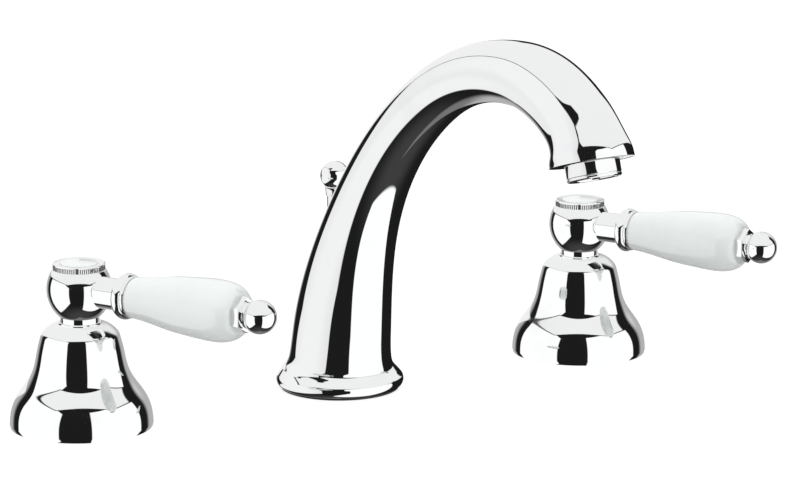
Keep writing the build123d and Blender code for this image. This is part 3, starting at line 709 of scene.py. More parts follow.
# %% Drill the hole for the lift rod
ROD_Y, ROD_RADIUS, ROD_HOLE = 3.5, 3.0, 3.3
drill = turned(
    "drill",
    [(0.0, 20.0), (ROD_HOLE, 20.0), (ROD_HOLE, 110.0), (0.0, 110.0)],
    chrome.material,
    place(0, ROD_Y, 0),
    sides=96,
    ease=0.0,
)
cut = spout.modifiers.new("drill", "BOOLEAN")
cut.operation, cut.solver, cut.object = "DIFFERENCE", "EXACT", drill
spout.data = settled(spout)
bpy.data.objects.remove(drill)
spout.data.set_sharp_from_angle(angle=CREASE)
fit(spout, "fixed", "chrome", "spout_body")
print("drilled spout:", len(spout.data.polygons), "faces")

# %% The seal under the foot
seal = turned(
    "foot_seal",
    [(18, 0), (15, 0), (15, SEAL_THICKNESS), (23.6, SEAL_THICKNESS), (23.6, 0), (18, 0)],
    rubber,
    ease=0.3,
)
fit(seal, "fixed", "rubber", "spout_base_seal")

# %% [markdown]
# ## Aerator
# The water leaves through a screwed skirt with a fine metal mesh at its end. The mesh is the
# first thing that repeats: two layers of straight wires, each as long as the circle is wide at
# its place. Geometry Nodes lay a wire on every point of a line and stretch it by that rule.

# %% The tree that lays a round mesh of wires
mesh_tree, lay, asked = new_tree(
    "wire_mesh",
    "GeometryNodeTree",
    dict(Radius="Float", Pitch="Float", Wire="Float", Wires="Int", Finish="Material"),
    dict(Mesh="Geometry"),
)
half = lay.over(lay.minus(asked["Wires"], 1.0), 2.0)
first_x = lay.times(half, asked["Pitch"], -1.0)
line = lay.take(
    "GeometryNodeMeshLine",
    {
        "Count": asked["Wires"],
        "Start Location": lay.xyz(X=first_x),
        "Offset": lay.xyz(X=asked["Pitch"]),
    },
)
wire = lay.take(
    "GeometryNodeMeshCylinder", {"Vertices": 6, "Radius": asked["Wire"], "Depth": 2.0}
)
x_there = lay.take("ShaderNodeSeparateXYZ", {0: lay.take("GeometryNodeInputPosition")})
room = lay.minus(lay.times(asked["Radius"], asked["Radius"]), lay.times(x_there, x_there))
half_wire = lay.math("SQRT", lay.most(room, 0.0))
wires = lay.take(
    "GeometryNodeInstanceOnPoints",
    {
        "Points": line,
        "Instance": wire,
        "Rotation": (math.pi / 2, 0.0, 0.0),
        "Scale": lay.xyz(X=1.0, Y=1.0, Z=half_wire),
    },
)
crossed = lay.take(
    "GeometryNodeTransform",
    {
        "Geometry": wires,
        "Translation": lay.xyz(Z=lay.times(asked["Wire"], 1.6)),
        "Rotation": (0.0, 0.0, math.pi / 2),
    },
)
layers = lay.lay("GeometryNodeJoinGeometry")
for layer in (wires, crossed):
    mesh_tree.links.new(layer, layers.inputs[0])
lay.lay("NodeGroupOutput", {0: dressed(lay, layers.outputs[0], asked["Finish"])})
print("tree", mesh_tree.name, "with", len(mesh_tree.nodes), "nodes")

# %% Skirt and mesh in the mouth
out_y, out_z = math.cos(MOUTH_HEADING), math.sin(MOUTH_HEADING)
MOUTH = Matrix(
    (
        (1.0, 0.0, 0.0, 0.0),
        (0.0, out_z, out_y, MOUTH_Y * MM),
        (0.0, -out_y, out_z, MOUTH_Z * MM),
        (0.0, 0.0, 0.0, 1.0),
    )
)
SKIRT_RADIUS, SKIRT_LENGTH = 9.9, 6.1
skirt_outline = [
    (8.0, -3.0), (8.0, -8.0), (9.0, -8.0), (9.0, 0.12), (SKIRT_RADIUS, 0.12),
    (SKIRT_RADIUS, SKIRT_LENGTH - 1.5), (SKIRT_RADIUS - 0.22, SKIRT_LENGTH - 1.35),
    (SKIRT_RADIUS - 0.22, SKIRT_LENGTH - 1.1), (SKIRT_RADIUS, SKIRT_LENGTH - 0.95),
    (SKIRT_RADIUS, SKIRT_LENGTH - 0.4), (SKIRT_RADIUS - 0.4, SKIRT_LENGTH), (7.9, SKIRT_LENGTH),
    (7.5, SKIRT_LENGTH - 0.4), (7.5, SKIRT_LENGTH - 1.4), (8.0, SKIRT_LENGTH - 1.4), (8.0, -3.0),
]
skirt = turned("aerator_skirt", skirt_outline, chrome.material, MOUTH, ease=0.15)
fit(skirt, "fixed", "chrome", "aerator_housing")
gauze = grow(
    "aerator_gauze",
    mesh_tree,
    {"Radius": 7.9 * MM, "Pitch": 0.66 * MM, "Wire": 0.13 * MM, "Wires": 23, "Finish": steel},
)
gauze.data.transform(MOUTH @ place(0, 0, SKIRT_LENGTH - 1.9))
point_outwards(gauze.data)
fit(gauze, "fixed", "steel", "aerator_screen")
print("gauze:", len(gauze.data.polygons), "faces")

# %% [markdown]
# ## Lift rod and knob
# The pop-up waste is worked by a thin rod behind the spout. Its knob is turned in one piece,
# a ball that flows down into a short throat.

# %% Turn the rod and its knob
ROD_BOTTOM, ROD_TOP, KNOB_HEIGHT, KNOB_RADIUS = -95.0, 84.2, 85.2, 5.7
rod_outline = [(0, ROD_BOTTOM), (ROD_RADIUS, ROD_BOTTOM), (ROD_RADIUS, ROD_TOP), (0, ROD_TOP)]
lift_rod = turned(
    "lift_rod_polished", rod_outline, chrome.material, place(0, ROD_Y, 0), 64, ease=0.5
)
fit(lift_rod, "lift_rod", "chrome", "lift_rod")
THROAT = KNOB_HEIGHT - 4.2
throat_radius = math.sqrt(KNOB_RADIUS**2 - 4.2**2)
throat_line = flowing(
    [(3.5, KNOB_HEIGHT - 8.0), (3.65, KNOB_HEIGHT - 6.0), (throat_radius + 0.45, THROAT - 0.3)],
    leave=(0, 1),
    arrive=(1, 0.5),
)
ball_line = arc(
    (throat_radius, THROAT), (KNOB_RADIUS, KNOB_HEIGHT), (0, KNOB_HEIGHT + KNOB_RADIUS), 48
)
knob = turned(
    "lift_knob_turned",
    [(0, KNOB_HEIGHT - 8.0)] + throat_line + ball_line,
    chrome.material,
    place(0, ROD_Y, 0),
    ease=0.12,
)
fit(knob, "lift_rod", "chrome", "lift_knob")
print("knob stands", round(KNOB_HEIGHT + KNOB_RADIUS, 1), "mm above the deck")

# %% [markdown]
# ## Screw threads
# Threads hold the tap under the deck and join its hoses. A thread is a ridge that climbs at
# an even pitch, so it follows a path: a spiral curve, with a small diamond swept along it. The
# inner half of the diamond is hidden in the core, and the outer half is the thread.

# %% The tree that winds a thread
THREAD_DEPTH = 0.47
thread_tree, lay, asked = new_tree(
    "screw_thread",
    "GeometryNodeTree",
    dict(
        Crest_Radius="Float", Pitch="Float", Length="Float", Steps_Per_Turn="Int",
        Finish="Material",
    ),
    dict(Thread="Geometry"),
)
depth = lay.times(asked["Pitch"], THREAD_DEPTH)
middle = lay.minus(asked["Crest Radius"], depth)
spiral = lay.take(
    "GeometryNodeCurveSpiral",
    {
        "Resolution": asked["Steps Per Turn"],
        "Rotations": lay.over(asked["Length"], asked["Pitch"]),
        "Start Radius": middle,
        "End Radius": middle,
        "Height": asked["Length"],
    },
)
diamond = lay.take("GeometryNodeCurvePrimitiveCircle", {"Resolution": 4, "Radius": depth})
ridge = lay.take(
    "GeometryNodeCurveToMesh", {"Curve": spiral, "Profile Curve": diamond, "Fill Caps": True}
)
lay.lay("NodeGroupOutput", {0: dressed(lay, ridge, asked["Finish"])})


def thread(name, crest, pitch, bottom, top, finish, where):
    """A thread between two heights, whose middle runs along its core's skin."""
    ridge_height = THREAD_DEPTH * pitch
    made = grow(
        name,
        thread_tree,
        {
            "Crest Radius": crest * MM,
            "Pitch": pitch * MM,
            "Length": (top - bottom - 2 * ridge_height) * MM,
            "Steps Per Turn": 40,
            "Finish": finish,
        },
    )
    made.data.transform(where @ place(0, 0, bottom + ridge_height))
    point_outwards(made.data, math.radians(20))
    return made


def core(crest, pitch):
    """Radius of the cylinder that carries a thread."""
    return crest - THREAD_DEPTH * pitch


print("tree", thread_tree.name, "with", len(thread_tree.nodes), "nodes")

# %% [markdown]
# ## Under the deck
# Each unit is pulled down by a nut on its threaded shank. The nuts and washers of the part
# are already right in shape and only have edges that are too sharp, so they are copied, welded
# and given a fine bevel.


# %% Copies of plain solids with softened edges
def eased_copy(node, finish, width):
    """A copy of one solid with its triangles merged and its edges bevelled."""
    mesh = frame["nodes"][node].data.copy()
    flat = math.radians(0.6)
    with editing(mesh) as work:
        bmesh.ops.remove_doubles(work, verts=work.verts, dist=2e-6)
        bmesh.ops.dissolve_limit(work, angle_limit=flat, verts=work.verts, edges=work.edges)
    piece = put(node + "_eased", mesh)
    bevel = piece.modifiers.new("edges", "BEVEL")
    bevel.width, bevel.segments = width * MM, 2
    bevel.limit_method, bevel.angle_limit = "ANGLE", math.radians(28)
    piece.data = settled(piece)
    piece.data.materials.clear()
    piece.data.materials.append(finish)
    piece.data.shade_smooth()
    piece.data.set_sharp_from_angle(angle=math.radians(35))
    return fit(piece, "fixed", SLOT_OF[node], node)


for prefix in ("spout", "hot", "cold"):
    eased_copy(prefix + "_rubber_washer", rubber, 0.4)
    eased_copy(prefix + "_metal_washer", steel, 0.2)
    eased_copy(prefix + "_lock_nut", brass, 0.3)
stub = eased_copy("spout_inlet_stub", brass, 0.2)
print("inlet stub:", len(stub.data.polygons), "faces")

# %% The spout's threaded shank
SHANK_RADIUS, SHANK_PITCH, SHANK_BORE = 14.0, 1.5, 11.8
SHANK_CORE = core(SHANK_RADIUS, SHANK_PITCH)
shank_outline = [
    (SHANK_BORE, -20.0), (SHANK_BORE, -45.0), (SHANK_CORE, -45.0), (SHANK_CORE, 0.0),
    (SHANK_CORE, 9.0), (SHANK_BORE, 9.0), (SHANK_BORE, -20.0),
]
shank = turned("spout_shank_threaded", shank_outline, brass, sides=96, ease=0.3)
wound = thread("wound", SHANK_RADIUS, SHANK_PITCH, -44.7, 0.0, brass, place())
fit(joined(shank, wound), "fixed", "brass", "spout_shank")
print("spout shank:", len(shank.data.polygons), "faces")

# %% [markdown]
# ## The two valves
# Hot and cold are the same valve and the same handle, only the side outlet of the body faces
# the spout on both, so one loop makes the two sets. The bell is a thin turned shell, open
# below. Its outline is a free curve, because the real one was drawn by eye: nearly upright at
# the foot, hollow at the waist and round at the shoulder.

# %% Outlines of the pieces that stand on the deck
HOLE_SPACING, LEVER_ANGLE = 115.0, -65.0
BELL_WALL, NECK_RADIUS, NECK_HOLE = 1.8, 7.45, 7.51
BELL_TOP, BEAD_RADIUS, BEAD_TOP = 40.2, 8.35, 41.0
BELL_CURVE = (
    (27.5, 1.2), (26.95, 6.2), (24.75, 11.8), (20.6, 17.8), (18.3, 22.4), (16.6, 29.8),
    (15.2, 35.4),
)
bell_side = flowing(BELL_CURVE, leave=(-0.03, 1.0), arrive=(-0.28, 1.0), steps=14)
bell_shoulder = flowing(
    [BELL_CURVE[-1], (13.2, 38.1), (9.8, 40.0)], leave=(-0.28, 1.0), arrive=(-1.0, 0.18), steps=14
)
bell_inside = [(r - BELL_WALL, z) for r, z in reversed(bell_side)]
bell_outline = (
    [(BELL_CURVE[0][0] - 0.3, 0.0)]
    + bell_side
    + bell_shoulder[1:]
    + [(BEAD_RADIUS, BELL_TOP)]
    + [(BEAD_RADIUS, BELL_TOP + 0.35), (BEAD_RADIUS - 0.3, BEAD_TOP), (NECK_HOLE, BEAD_TOP)]
    + [(NECK_HOLE, BELL_TOP - 3.1), (11.4, BELL_TOP - 3.1)]
    + bell_inside
    + [(BELL_CURVE[0][0] - BELL_WALL, 0.0), (BELL_CURVE[0][0] - 0.3, 0.0)]
)
print("bell outline:", len(bell_outline), "points")

# %% Hub, index ring and disc
HUB_HEIGHT, HUB_RADIUS, HUB_TOP = 53.576, 12.5, 61.276
HUB_CURVE, HUB_FOOT_RADIUS, HUB_BORE = 14.2, 8.1, 6.9
FLAT_BALL = HUB_RADIUS - HUB_CURVE
BALL_FOOT = HUB_HEIGHT - math.sqrt(HUB_CURVE**2 - (HUB_FOOT_RADIUS - FLAT_BALL) ** 2)
HUB_RIM = FLAT_BALL + math.sqrt(HUB_CURVE**2 - (HUB_TOP - HUB_HEIGHT) ** 2)
hub_outline = (
    [(0, BELL_TOP - 1.5), (NECK_RADIUS, BELL_TOP - 1.5), (NECK_RADIUS, BALL_FOOT - 0.3)]
    + arc((HUB_FOOT_RADIUS, BALL_FOOT), (HUB_RADIUS, HUB_HEIGHT), (HUB_RIM, HUB_TOP), 64)
    + [(HUB_BORE, HUB_TOP), (HUB_BORE, HUB_HEIGHT - 1.6), (0, HUB_HEIGHT - 1.6)]
)
RING_RADIUS, RING_ROOT, RING_TOP, DISC_RADIUS = 10.1, HUB_TOP - 3.2, HUB_TOP + 2.7, 7.3
DISC_SEAT = HUB_TOP + 0.8
KNURL_CORE = RING_RADIUS - 0.35
ring_outline = [
    (6.4, RING_ROOT), (HUB_BORE, RING_ROOT), (HUB_BORE, HUB_TOP + 0.05),
    (KNURL_CORE, HUB_TOP + 0.05), (KNURL_CORE, HUB_TOP + 1.75), (RING_RADIUS, HUB_TOP + 1.9),
    (RING_RADIUS, RING_TOP - 0.4), (RING_RADIUS - 0.5, RING_TOP),
    (DISC_RADIUS + 0.5, RING_TOP - 0.5), (DISC_RADIUS, RING_TOP - 0.5), (DISC_RADIUS, DISC_SEAT),
    (5.2, DISC_SEAT), (5.2, RING_ROOT), (6.4, RING_ROOT),
]
disc_outline = [(0, DISC_SEAT), (DISC_RADIUS - 0.16, DISC_SEAT)] + arc(
    (DISC_RADIUS - 0.16, RING_TOP - 0.2), (4.0, RING_TOP + 0.22), (0, RING_TOP + 0.4), 16
)
print("hub stands", HUB_TOP, "mm high, ball foot at", round(BALL_FOOT, 2))

# %% Lever stem, grip and finial, measured along the lever from the hub's middle
STEM_RADIUS, COLLAR_START, BEAD_END, COLLAR_END = 6.05, 20.6, 24.9, 26.5
BEAD_MIDDLE, RING_MIDDLE = (COLLAR_START + BEAD_END) / 2, (BEAD_END + COLLAR_END) / 2
stem_outline = (
    [(0, 10.0), (STEM_RADIUS, 10.0), (STEM_RADIUS, COLLAR_START)]
    + arc((6.7, COLLAR_START), (8.85, BEAD_MIDDLE), (7.8, BEAD_END), 20)
    + arc((7.8, BEAD_END), (8.05, RING_MIDDLE), (7.8, COLLAR_END), 8)
    + [(0, COLLAR_END)]
)
GRIP_START, GRIP_END = 27.0, 75.9
GRIP_CURVE = (
    (7.85, 27.3), (8.7, 35.0), (10.3, 45.0), (11.25, 55.0), (11.75, 64.0), (11.0, 71.2),
    (8.4, 75.55),
)
grip_outline = (
    [(0, GRIP_START), (7.5, GRIP_START)]
    + flowing(GRIP_CURVE, leave=(0.08, 1.0), arrive=(-1.0, 0.75), steps=12)
    + [(7.7, GRIP_END), (0, GRIP_END)]
)
HEX_LENGTH, BALL_RADIUS, BALL_CENTRE = 3.0, 6.4, 84.4
HEX_END = GRIP_END + HEX_LENGTH
BALL_JOINT = BALL_CENTRE - math.sqrt(BALL_RADIUS**2 - 4.7**2)
HEX_CORNER = 12.0 / math.sqrt(3)
hexagon_outline = [(0, GRIP_END), (HEX_CORNER, GRIP_END), (HEX_CORNER, HEX_END), (0, HEX_END)]
finial_outline = (
    [(0, HEX_END - 0.5), (5.0, HEX_END - 0.5), (5.0, HEX_END + 0.8)]
    + arc((4.7, BALL_JOINT), (BALL_RADIUS, BALL_CENTRE), (0, BALL_CENTRE + BALL_RADIUS), 48)
)
print("lever reaches", BALL_CENTRE + BALL_RADIUS, "mm from the hub's middle")

# %% [markdown]
# The ring round each disc is knurled so that it can be unscrewed by hand. Seventy-odd small
# round ribs stand side by side on a circle, which is the plainest case of what Geometry Nodes
# do well: one rib, placed on every point of a circle.

# %% The tree that stands ribs on a circle
knurl_tree, lay, asked = new_tree(
    "knurl",
    "GeometryNodeTree",
    dict(
        Ribs="Int", Circle_Radius="Float", Rib_Radius="Float", Rib_Height="Float",
        Finish="Material", Root_Finish="Material",
    ),
    dict(Knurl="Geometry"),
)


def pillar(sides, radius):
    """An upright cylinder as high as a rib."""
    measures = {"Vertices": sides, "Radius": radius, "Depth": asked["Rib Height"]}
    return lay.take("GeometryNodeMeshCylinder", measures)


circle = lay.take(
    "GeometryNodeMeshCircle", {"Vertices": asked["Ribs"], "Radius": asked["Circle Radius"]}
)
ribs = lay.take(
    "GeometryNodeInstanceOnPoints",
    {"Points": circle, "Instance": pillar(8, asked["Rib Radius"])},
)
# The core between the ribs gets the dark plate that paints the shade of the grooves
root = dressed(lay, pillar(144, asked["Circle Radius"]), asked["Root Finish"])
metals = lay.lay("GeometryNodeJoinGeometry", {0: dressed(lay, ribs, asked["Finish"])})
knurl_tree.links.new(root, metals.inputs[0])
lay.lay("NodeGroupOutput", {0: metals.outputs[0]})
print("tree", knurl_tree.name, "with", len(knurl_tree.nodes), "nodes")


# %% One handle, from the hub to the finial
def make_handle(prefix, x):
    """The turning pieces of one valve."""
    body, upright = prefix + "_handle", place(x)
    lever = place(x, 0, HUB_HEIGHT, (LEVER_ANGLE, "Z"), (90, "Y"))
    shiny = chrome.material
    hub = turned(prefix + "_hub", hub_outline, shiny, upright, 160, ease=0.2)
    fit(hub, body, "chrome", prefix + "_handle_hub")
    ring = turned(prefix + "_index_ring_knurled", ring_outline, shiny, upright, 144, ease=0.12)
    ribs = grow(
        "ribs",
        knurl_tree,
        {
            "Ribs": 76,
            "Circle Radius": (KNURL_CORE + 0.03) * MM,
            "Rib Radius": 0.25 * MM,
            "Rib Height": 1.66 * MM,
            "Finish": shiny,
            "Root Finish": painted_root_shade.material,
        },
    )
    ribs.data.transform(place(x, 0, HUB_TOP + 0.92))
    point_outwards(ribs.data, math.radians(50))
    # A second slot for the dark plate that paints shade in the knurl's grooves
    ring.data.materials.append(painted_root_shade.material)
    fit(joined(ring, ribs), body, "chrome", prefix + "_index_ring")
    disc = turned(prefix + "_disc", disc_outline, porcelain.material, upright, ease=0.15)
    fit(disc, body, "porcelain", prefix + "_index_disc")
    stem = turned(prefix + "_stem", stem_outline, shiny, lever, 144, ease=0.12)
    fit(stem, body, "chrome", prefix + "_lever_stem")
    grip = turned(prefix + "_grip", grip_outline, porcelain.material, lever, 144, ease=0.3)
    fit(grip, body, "porcelain", prefix + "_porcelain_grip")
    tip = turned(prefix + "_tip", finial_outline, shiny, lever, 128, ease=0.15)
    nut = turned("hexagon", hexagon_outline, shiny, lever, 6, ease=0.25)
    fit(joined(tip, nut), body, "chrome", prefix + "_finial")
    return [hub, ring, disc, stem, grip, tip]


for prefix, side in (("hot", -1), ("cold", 1)):
    made = make_handle(prefix, side * HOLE_SPACING)
    print(prefix, "handle:", sum(len(p.data.polygons) for p in made), "faces")

# %% Bell, valve body and outlet of each valve
SUPPLY_RADIUS, SUPPLY_PITCH = 10.48, 1.814
SUPPLY_CORE = core(SUPPLY_RADIUS, SUPPLY_PITCH)
OUTLET_RADIUS, OUTLET_PITCH, OUTLET_BORE = 8.33, 1.337, 4.2
OUTLET_CORE = core(OUTLET_RADIUS, OUTLET_PITCH)
valve_outline = [
    (0, -62), (4.5, -62), (4.5, -74), (SUPPLY_CORE, -74), (SUPPLY_CORE, -60.4),
    (SUPPLY_CORE + 0.4, -60), (SHANK_CORE, -60), (SHANK_CORE, 1.5), (18, 1.5), (18, 5), (13, 6.5),
    (13, 17), (10.6, 17), (10.6, -2), (0, -2),
]
nipple_outline = [
    (OUTLET_BORE, 14.0), (OUTLET_BORE, 9.0), (6.8, 9.0), (6.8, 14.5), (OUTLET_CORE, 14.5),
    (OUTLET_CORE, 28.0), (OUTLET_BORE, 28.0), (OUTLET_BORE, 14.0),
]
for prefix, side in (("hot", -1), ("cold", 1)):
    upright = place(side * HOLE_SPACING)
    bell = turned(prefix + "_bell", bell_outline, chrome.material, upright, 160, ease=0.2)
    fit(bell, "fixed", "chrome", prefix + "_bell_cover")
    valve = turned(prefix + "_valve", valve_outline, brass, upright, 96, ease=0.3)
    long_thread = thread("a", SHANK_RADIUS, SHANK_PITCH, -59.6, 0.0, brass, upright)
    short_thread = thread("b", SUPPLY_RADIUS, SUPPLY_PITCH, -73.8, -61.0, brass, upright)
    fit(joined(valve, long_thread, short_thread), "fixed", "brass", prefix + "_valve_body")
    out = place(side * HOLE_SPACING, 0, -50, (90 + side * 45, "Z"), (90, "Y"))
    metal = brass_outlet[prefix]
    nipple = turned(prefix + "_outlet", nipple_outline, metal, out, 64, ease=0.3)
    cut_thread = thread("c", OUTLET_RADIUS, OUTLET_PITCH, 14.7, 27.8, metal, out)
    fit(joined(nipple, cut_thread), "fixed", "brass", prefix + "_hose_nipple")
    print(prefix, "valve:", len(valve.data.polygons) + len(nipple.data.polygons), "faces")

# %% [markdown]
# ## The studio
# Chrome is lit by what it reflects. The photograph's metal shows a white tent: tall panels to
# both sides, a soft ceiling over them, and a black gap in front, through which the camera
# looked. That gap is the dark band down every curved piece. Lamps can't paint such a picture,
# so each unit stands in the middle of a big glowing ball that says how bright its tent is in
# each direction, as an angle round the unit and an angle above the horizon. Only reflections
# see the ball. The photograph joins pictures whose panels stood differently, so the spout, each
# valve and each lever has a ball of its own, the two knurled rings share one without a gap, and
# Light Linking keeps the other pieces from seeing it. Each ball is a little larger than the
# last, because two faces in the same place would hide one another.

# %% Where the panels of each unit's tent stand
# Angles are in degrees, and those round a unit count from where its camera stands.
SPOUT_TENT = {
    "Facing": -31.8, "Gap Left": -31.0, "Gap Right": 20.0, "Back Left": -148.0,
    "Back Right": 200.0, "Left Foot": -44.0, "Right Foot": -77.0, "Arch": 47.0,
    "Left Rise": 48.5, "Right Rise": 32.0, "Ceiling End": 152.0, "Open Above": 17.0,
    "Left Shade": 1.0, "Wing": 1.0, "Low Card": 1.0, "Dark Flap": 1.0,
}
VALVE_TENT = {
    "Gap Left": -37.0, "Gap Right": 16.0, "Back Left": -134.0, "Back Right": 127.0,
    "Left Foot": -51.0, "Right Foot": -62.0, "Arch": 51.0, "Left Rise": 41.0,
    "Right Rise": 36.0, "Ceiling End": 104.0, "Open Above": 45.0,
}
LEVER_TENT = {**VALVE_TENT, "Arch": 24.5, "Left Rise": 19.0, "Right Rise": 20.0}
HOT_FACING, COLD_FACING, RINGS_FACING = {"Facing": -26.5}, {"Facing": -34.3}, {"Facing": -30.4}
NO_GAP = {"Gap Left": 0.0, "Gap Right": 0.0}
TENTS = {
    "spout": (0.0, SPOUT_TENT),
    "hot_valve": (-HOLE_SPACING, {**HOT_FACING, **VALVE_TENT}),
    "cold_valve": (HOLE_SPACING, {**COLD_FACING, **VALVE_TENT}),
    "hot_lever": (-HOLE_SPACING, {**HOT_FACING, **LEVER_TENT}),
    "cold_lever": (HOLE_SPACING, {**COLD_FACING, **LEVER_TENT}),
    "both_rings": (0.0, {**RINGS_FACING, **LEVER_TENT, **NO_GAP}),
}
CEILING_LIGHT, PANEL_LIGHT = 0.92, 1.07
print("tents:", list(TENTS))

# %% A group that gives the tent's brightness in every direction
tent_group, lay, asked = new_tree(
    "tent_of_panels",
    "ShaderNodeTree",
    {name: "Float" for name in SPOUT_TENT},
    dict(Brightness="Float"),
)
DEGREES = 180 / math.pi
outwards = lay.vector("NORMALIZE", lay.lay("ShaderNodeTexCoord").outputs["Object"])
outwards = lay.lay("ShaderNodeSeparateXYZ", {0: outwards}).outputs
rise_angle = lay.times(lay.math("ARCSINE", outwards["Z"]), DEGREES)
bearing = lay.math("ARCTAN2", outwards["X"], lay.times(outwards["Y"], -1.0))
bearing = lay.minus(lay.times(bearing, DEGREES), asked["Facing"])
round_angle = lay.math("WRAP", bearing, 180.0, -180.0)


def past(value, edge, soft=1.0):
    """1 where a value is more than an edge, which may itself move, with a soft step."""
    return lay.ramp(lay.minus(value, edge), -soft, soft)


def level_edge(steepest, nearest):
    """Angle above the horizon of a straight level edge, steepest where it is nearest."""
    aside = lay.over(lay.minus(round_angle, nearest), DEGREES)
    tangent = lay.math("TANGENT", lay.over(steepest, DEGREES))
    rise = lay.times(lay.math("COSINE", aside), tangent)
    return lay.times(lay.math("ARCTANGENT", rise), DEGREES)


print("angles are laid with", len(tent_group.nodes), "nodes")

# %% The ceiling's edge, the black cap over the gap, and the dark flap beside it
ARCH_FALL, LEFT_NEAREST, RIGHT_NEAREST = 0.0037, -65.0, 62.0
PANELS_BELOW, FLAP_FOOT, FLAP_HEAD = 1.2, 46.3, 63.7
arch = lay.minus(asked["Arch"], lay.times(lay.math("POWER", round_angle, 2.0), ARCH_FALL))
left_edge = level_edge(asked["Left Rise"], LEFT_NEAREST)
right_edge = level_edge(asked["Right Rise"], RIGHT_NEAREST)
ceiling_edge = lay.most(arch, lay.most(left_edge, right_edge))
open_side = lay.most(
    past(asked["Ceiling End"], round_angle, 2.0), past(rise_angle, asked["Open Above"])
)
above = lay.ramp(lay.minus(rise_angle, ceiling_edge), -0.3, 0.6)
ceiling = lay.times(above, CEILING_LIGHT, open_side)
left_slope = lay.ramp(round_angle, -48.0, -36.0, -11.0, -15.0)
right_slope = lay.ramp(round_angle, 5.0, 18.0, -15.0, -9.8)
cap_foot = lay.plus(lay.most(left_slope, right_slope), asked["Arch"])
over_gap = lay.times(lay.ramp(round_angle, -52.0, -47.0), lay.ramp(round_angle, 53.0, 47.0))
panel_top = lay.minus(ceiling_edge, PANELS_BELOW)
lowered = lay.times(lay.most(lay.minus(panel_top, cap_foot), 0.0), over_gap)
panel_top = lay.minus(panel_top, lowered)
flap = lay.times(
    past(round_angle, lay.ramp(rise_angle, 48.0, 63.0, -82.0, -58.0, soft=False)),
    past(lay.ramp(rise_angle, 38.0, 60.0, -61.0, -31.0, soft=False), round_angle),
    past(rise_angle, FLAP_FOOT),
    past(FLAP_HEAD, rise_angle),
    asked["Dark Flap"],
)
print("ceiling laid")

# %% The two panels, the backdrop and the floor
LEFT_END, WING_REACH, RIGHT_END = -120.5, 31.0, 109.0
LEFT_FOOT_NEAREST, RIGHT_FOOT_NEAREST = -92.0, 45.0
SIDE_SOFT, FOOT_SOFT = 0.7, 1.5
from_wedge = lay.math("ABSOLUTE", lay.plus(rise_angle, 8.0))
wing = lay.math("MINIMUM", lay.times(from_wedge, 1.8), WING_REACH)
left_end = lay.minus(LEFT_END, lay.times(wing, asked["Wing"]))
widening = lay.times(lay.ramp(rise_angle, 8.0, 36.0, 0.0, 17.0), asked["Wing"])
gap_left = lay.minus(asked["Gap Left"], widening)
left_fade = lay.times(
    lay.ramp(lay.minus(round_angle, left_end), 0.0, 30.0, 0.93, 1.0),
    lay.ramp(lay.minus(gap_left, round_angle), 0.0, 30.0, 0.9, 1.0),
)
dimmed = lay.times(asked["Left Shade"], lay.minus(1.12, left_fade))
left_panel = lay.times(
    past(round_angle, left_end, SIDE_SOFT),
    past(gap_left, round_angle, SIDE_SOFT),
    past(rise_angle, level_edge(asked["Left Foot"], LEFT_FOOT_NEAREST), FOOT_SOFT),
    lay.minus(PANEL_LIGHT, dimmed),
)
low_slant = lay.ramp(rise_angle, -25.0, -65.0, 0.0, 40.0, soft=False)
slant = lay.plus(low_slant, lay.ramp(rise_angle, 8.0, 20.0, 0.0, 10.0))
right_start = lay.minus(asked["Gap Right"], lay.times(slant, asked["Low Card"]))
right_panel = lay.times(
    past(round_angle, right_start, SIDE_SOFT),
    past(RIGHT_END, round_angle, SIDE_SOFT),
    past(rise_angle, level_edge(asked["Right Foot"], RIGHT_FOOT_NEAREST), FOOT_SOFT),
    PANEL_LIGHT,
)
panels = lay.times(lay.most(left_panel, right_panel), past(panel_top, rise_angle, 0.4))
back_left = lay.ramp(lay.minus(asked["Back Left"], round_angle), 0.0, 16.0)
back_right = lay.ramp(lay.minus(round_angle, asked["Back Right"]), 0.0, 14.0)
backdrop = lay.times(
    lay.most(back_left, back_right),
    lay.ramp(rise_angle, -45.0, -30.0, 0.4, 1.0),
    lay.ramp(rise_angle, 2.0, 25.0, 0.46, 0.85),
)
floor = lay.ramp(rise_angle, -40.0, -80.0, 0.012, 0.05)
picture = lay.times(lay.most(panels, ceiling), lay.minus(1.0, flap))
picture = lay.most(lay.most(picture, backdrop), floor)
lay.lay("NodeGroupOutput", {"Brightness": picture})
print("group", tent_group.name, "with", len(tent_group.nodes), "nodes")

# %% One glowing ball round each unit, seen by its own pieces alone
BALL_METRES, NEXT_BALL = 5.0, 0.2


def tent(unit, x, radius, values):
    """A ball that only reflections in one unit's pieces can see."""
    glow = bpy.data.materials.new("tent_" + unit)
    lay = bare_bench(glow)
    picture = lay.take("ShaderNodeGroup", values, node_tree=tent_group)
    lit = lay.take("ShaderNodeEmission", {"Strength": picture})
    clear = lay.take("ShaderNodeBsdfTransparent")
    lit_and_clear = lay.take("ShaderNodeAddShader", {0: lit, 1: clear})
    lay.lay("ShaderNodeOutputMaterial", {"Surface": lit_and_clear})
    glow.cycles.emission_sampling = "NONE"
    ball = put("tent_" + unit, bpy.data.meshes.new("tent_" + unit))
    with editing(ball.data) as work:
        bmesh.ops.create_icosphere(work, subdivisions=3, radius=radius)
    ball.data.materials.append(glow)
    ball.location = (x * MM, 0, 60 * MM)
    for kind in ("camera", "diffuse", "transmission", "volume_scatter", "shadow"):
        setattr(ball, "visible_" + kind, False)
    ball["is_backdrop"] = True
    return ball


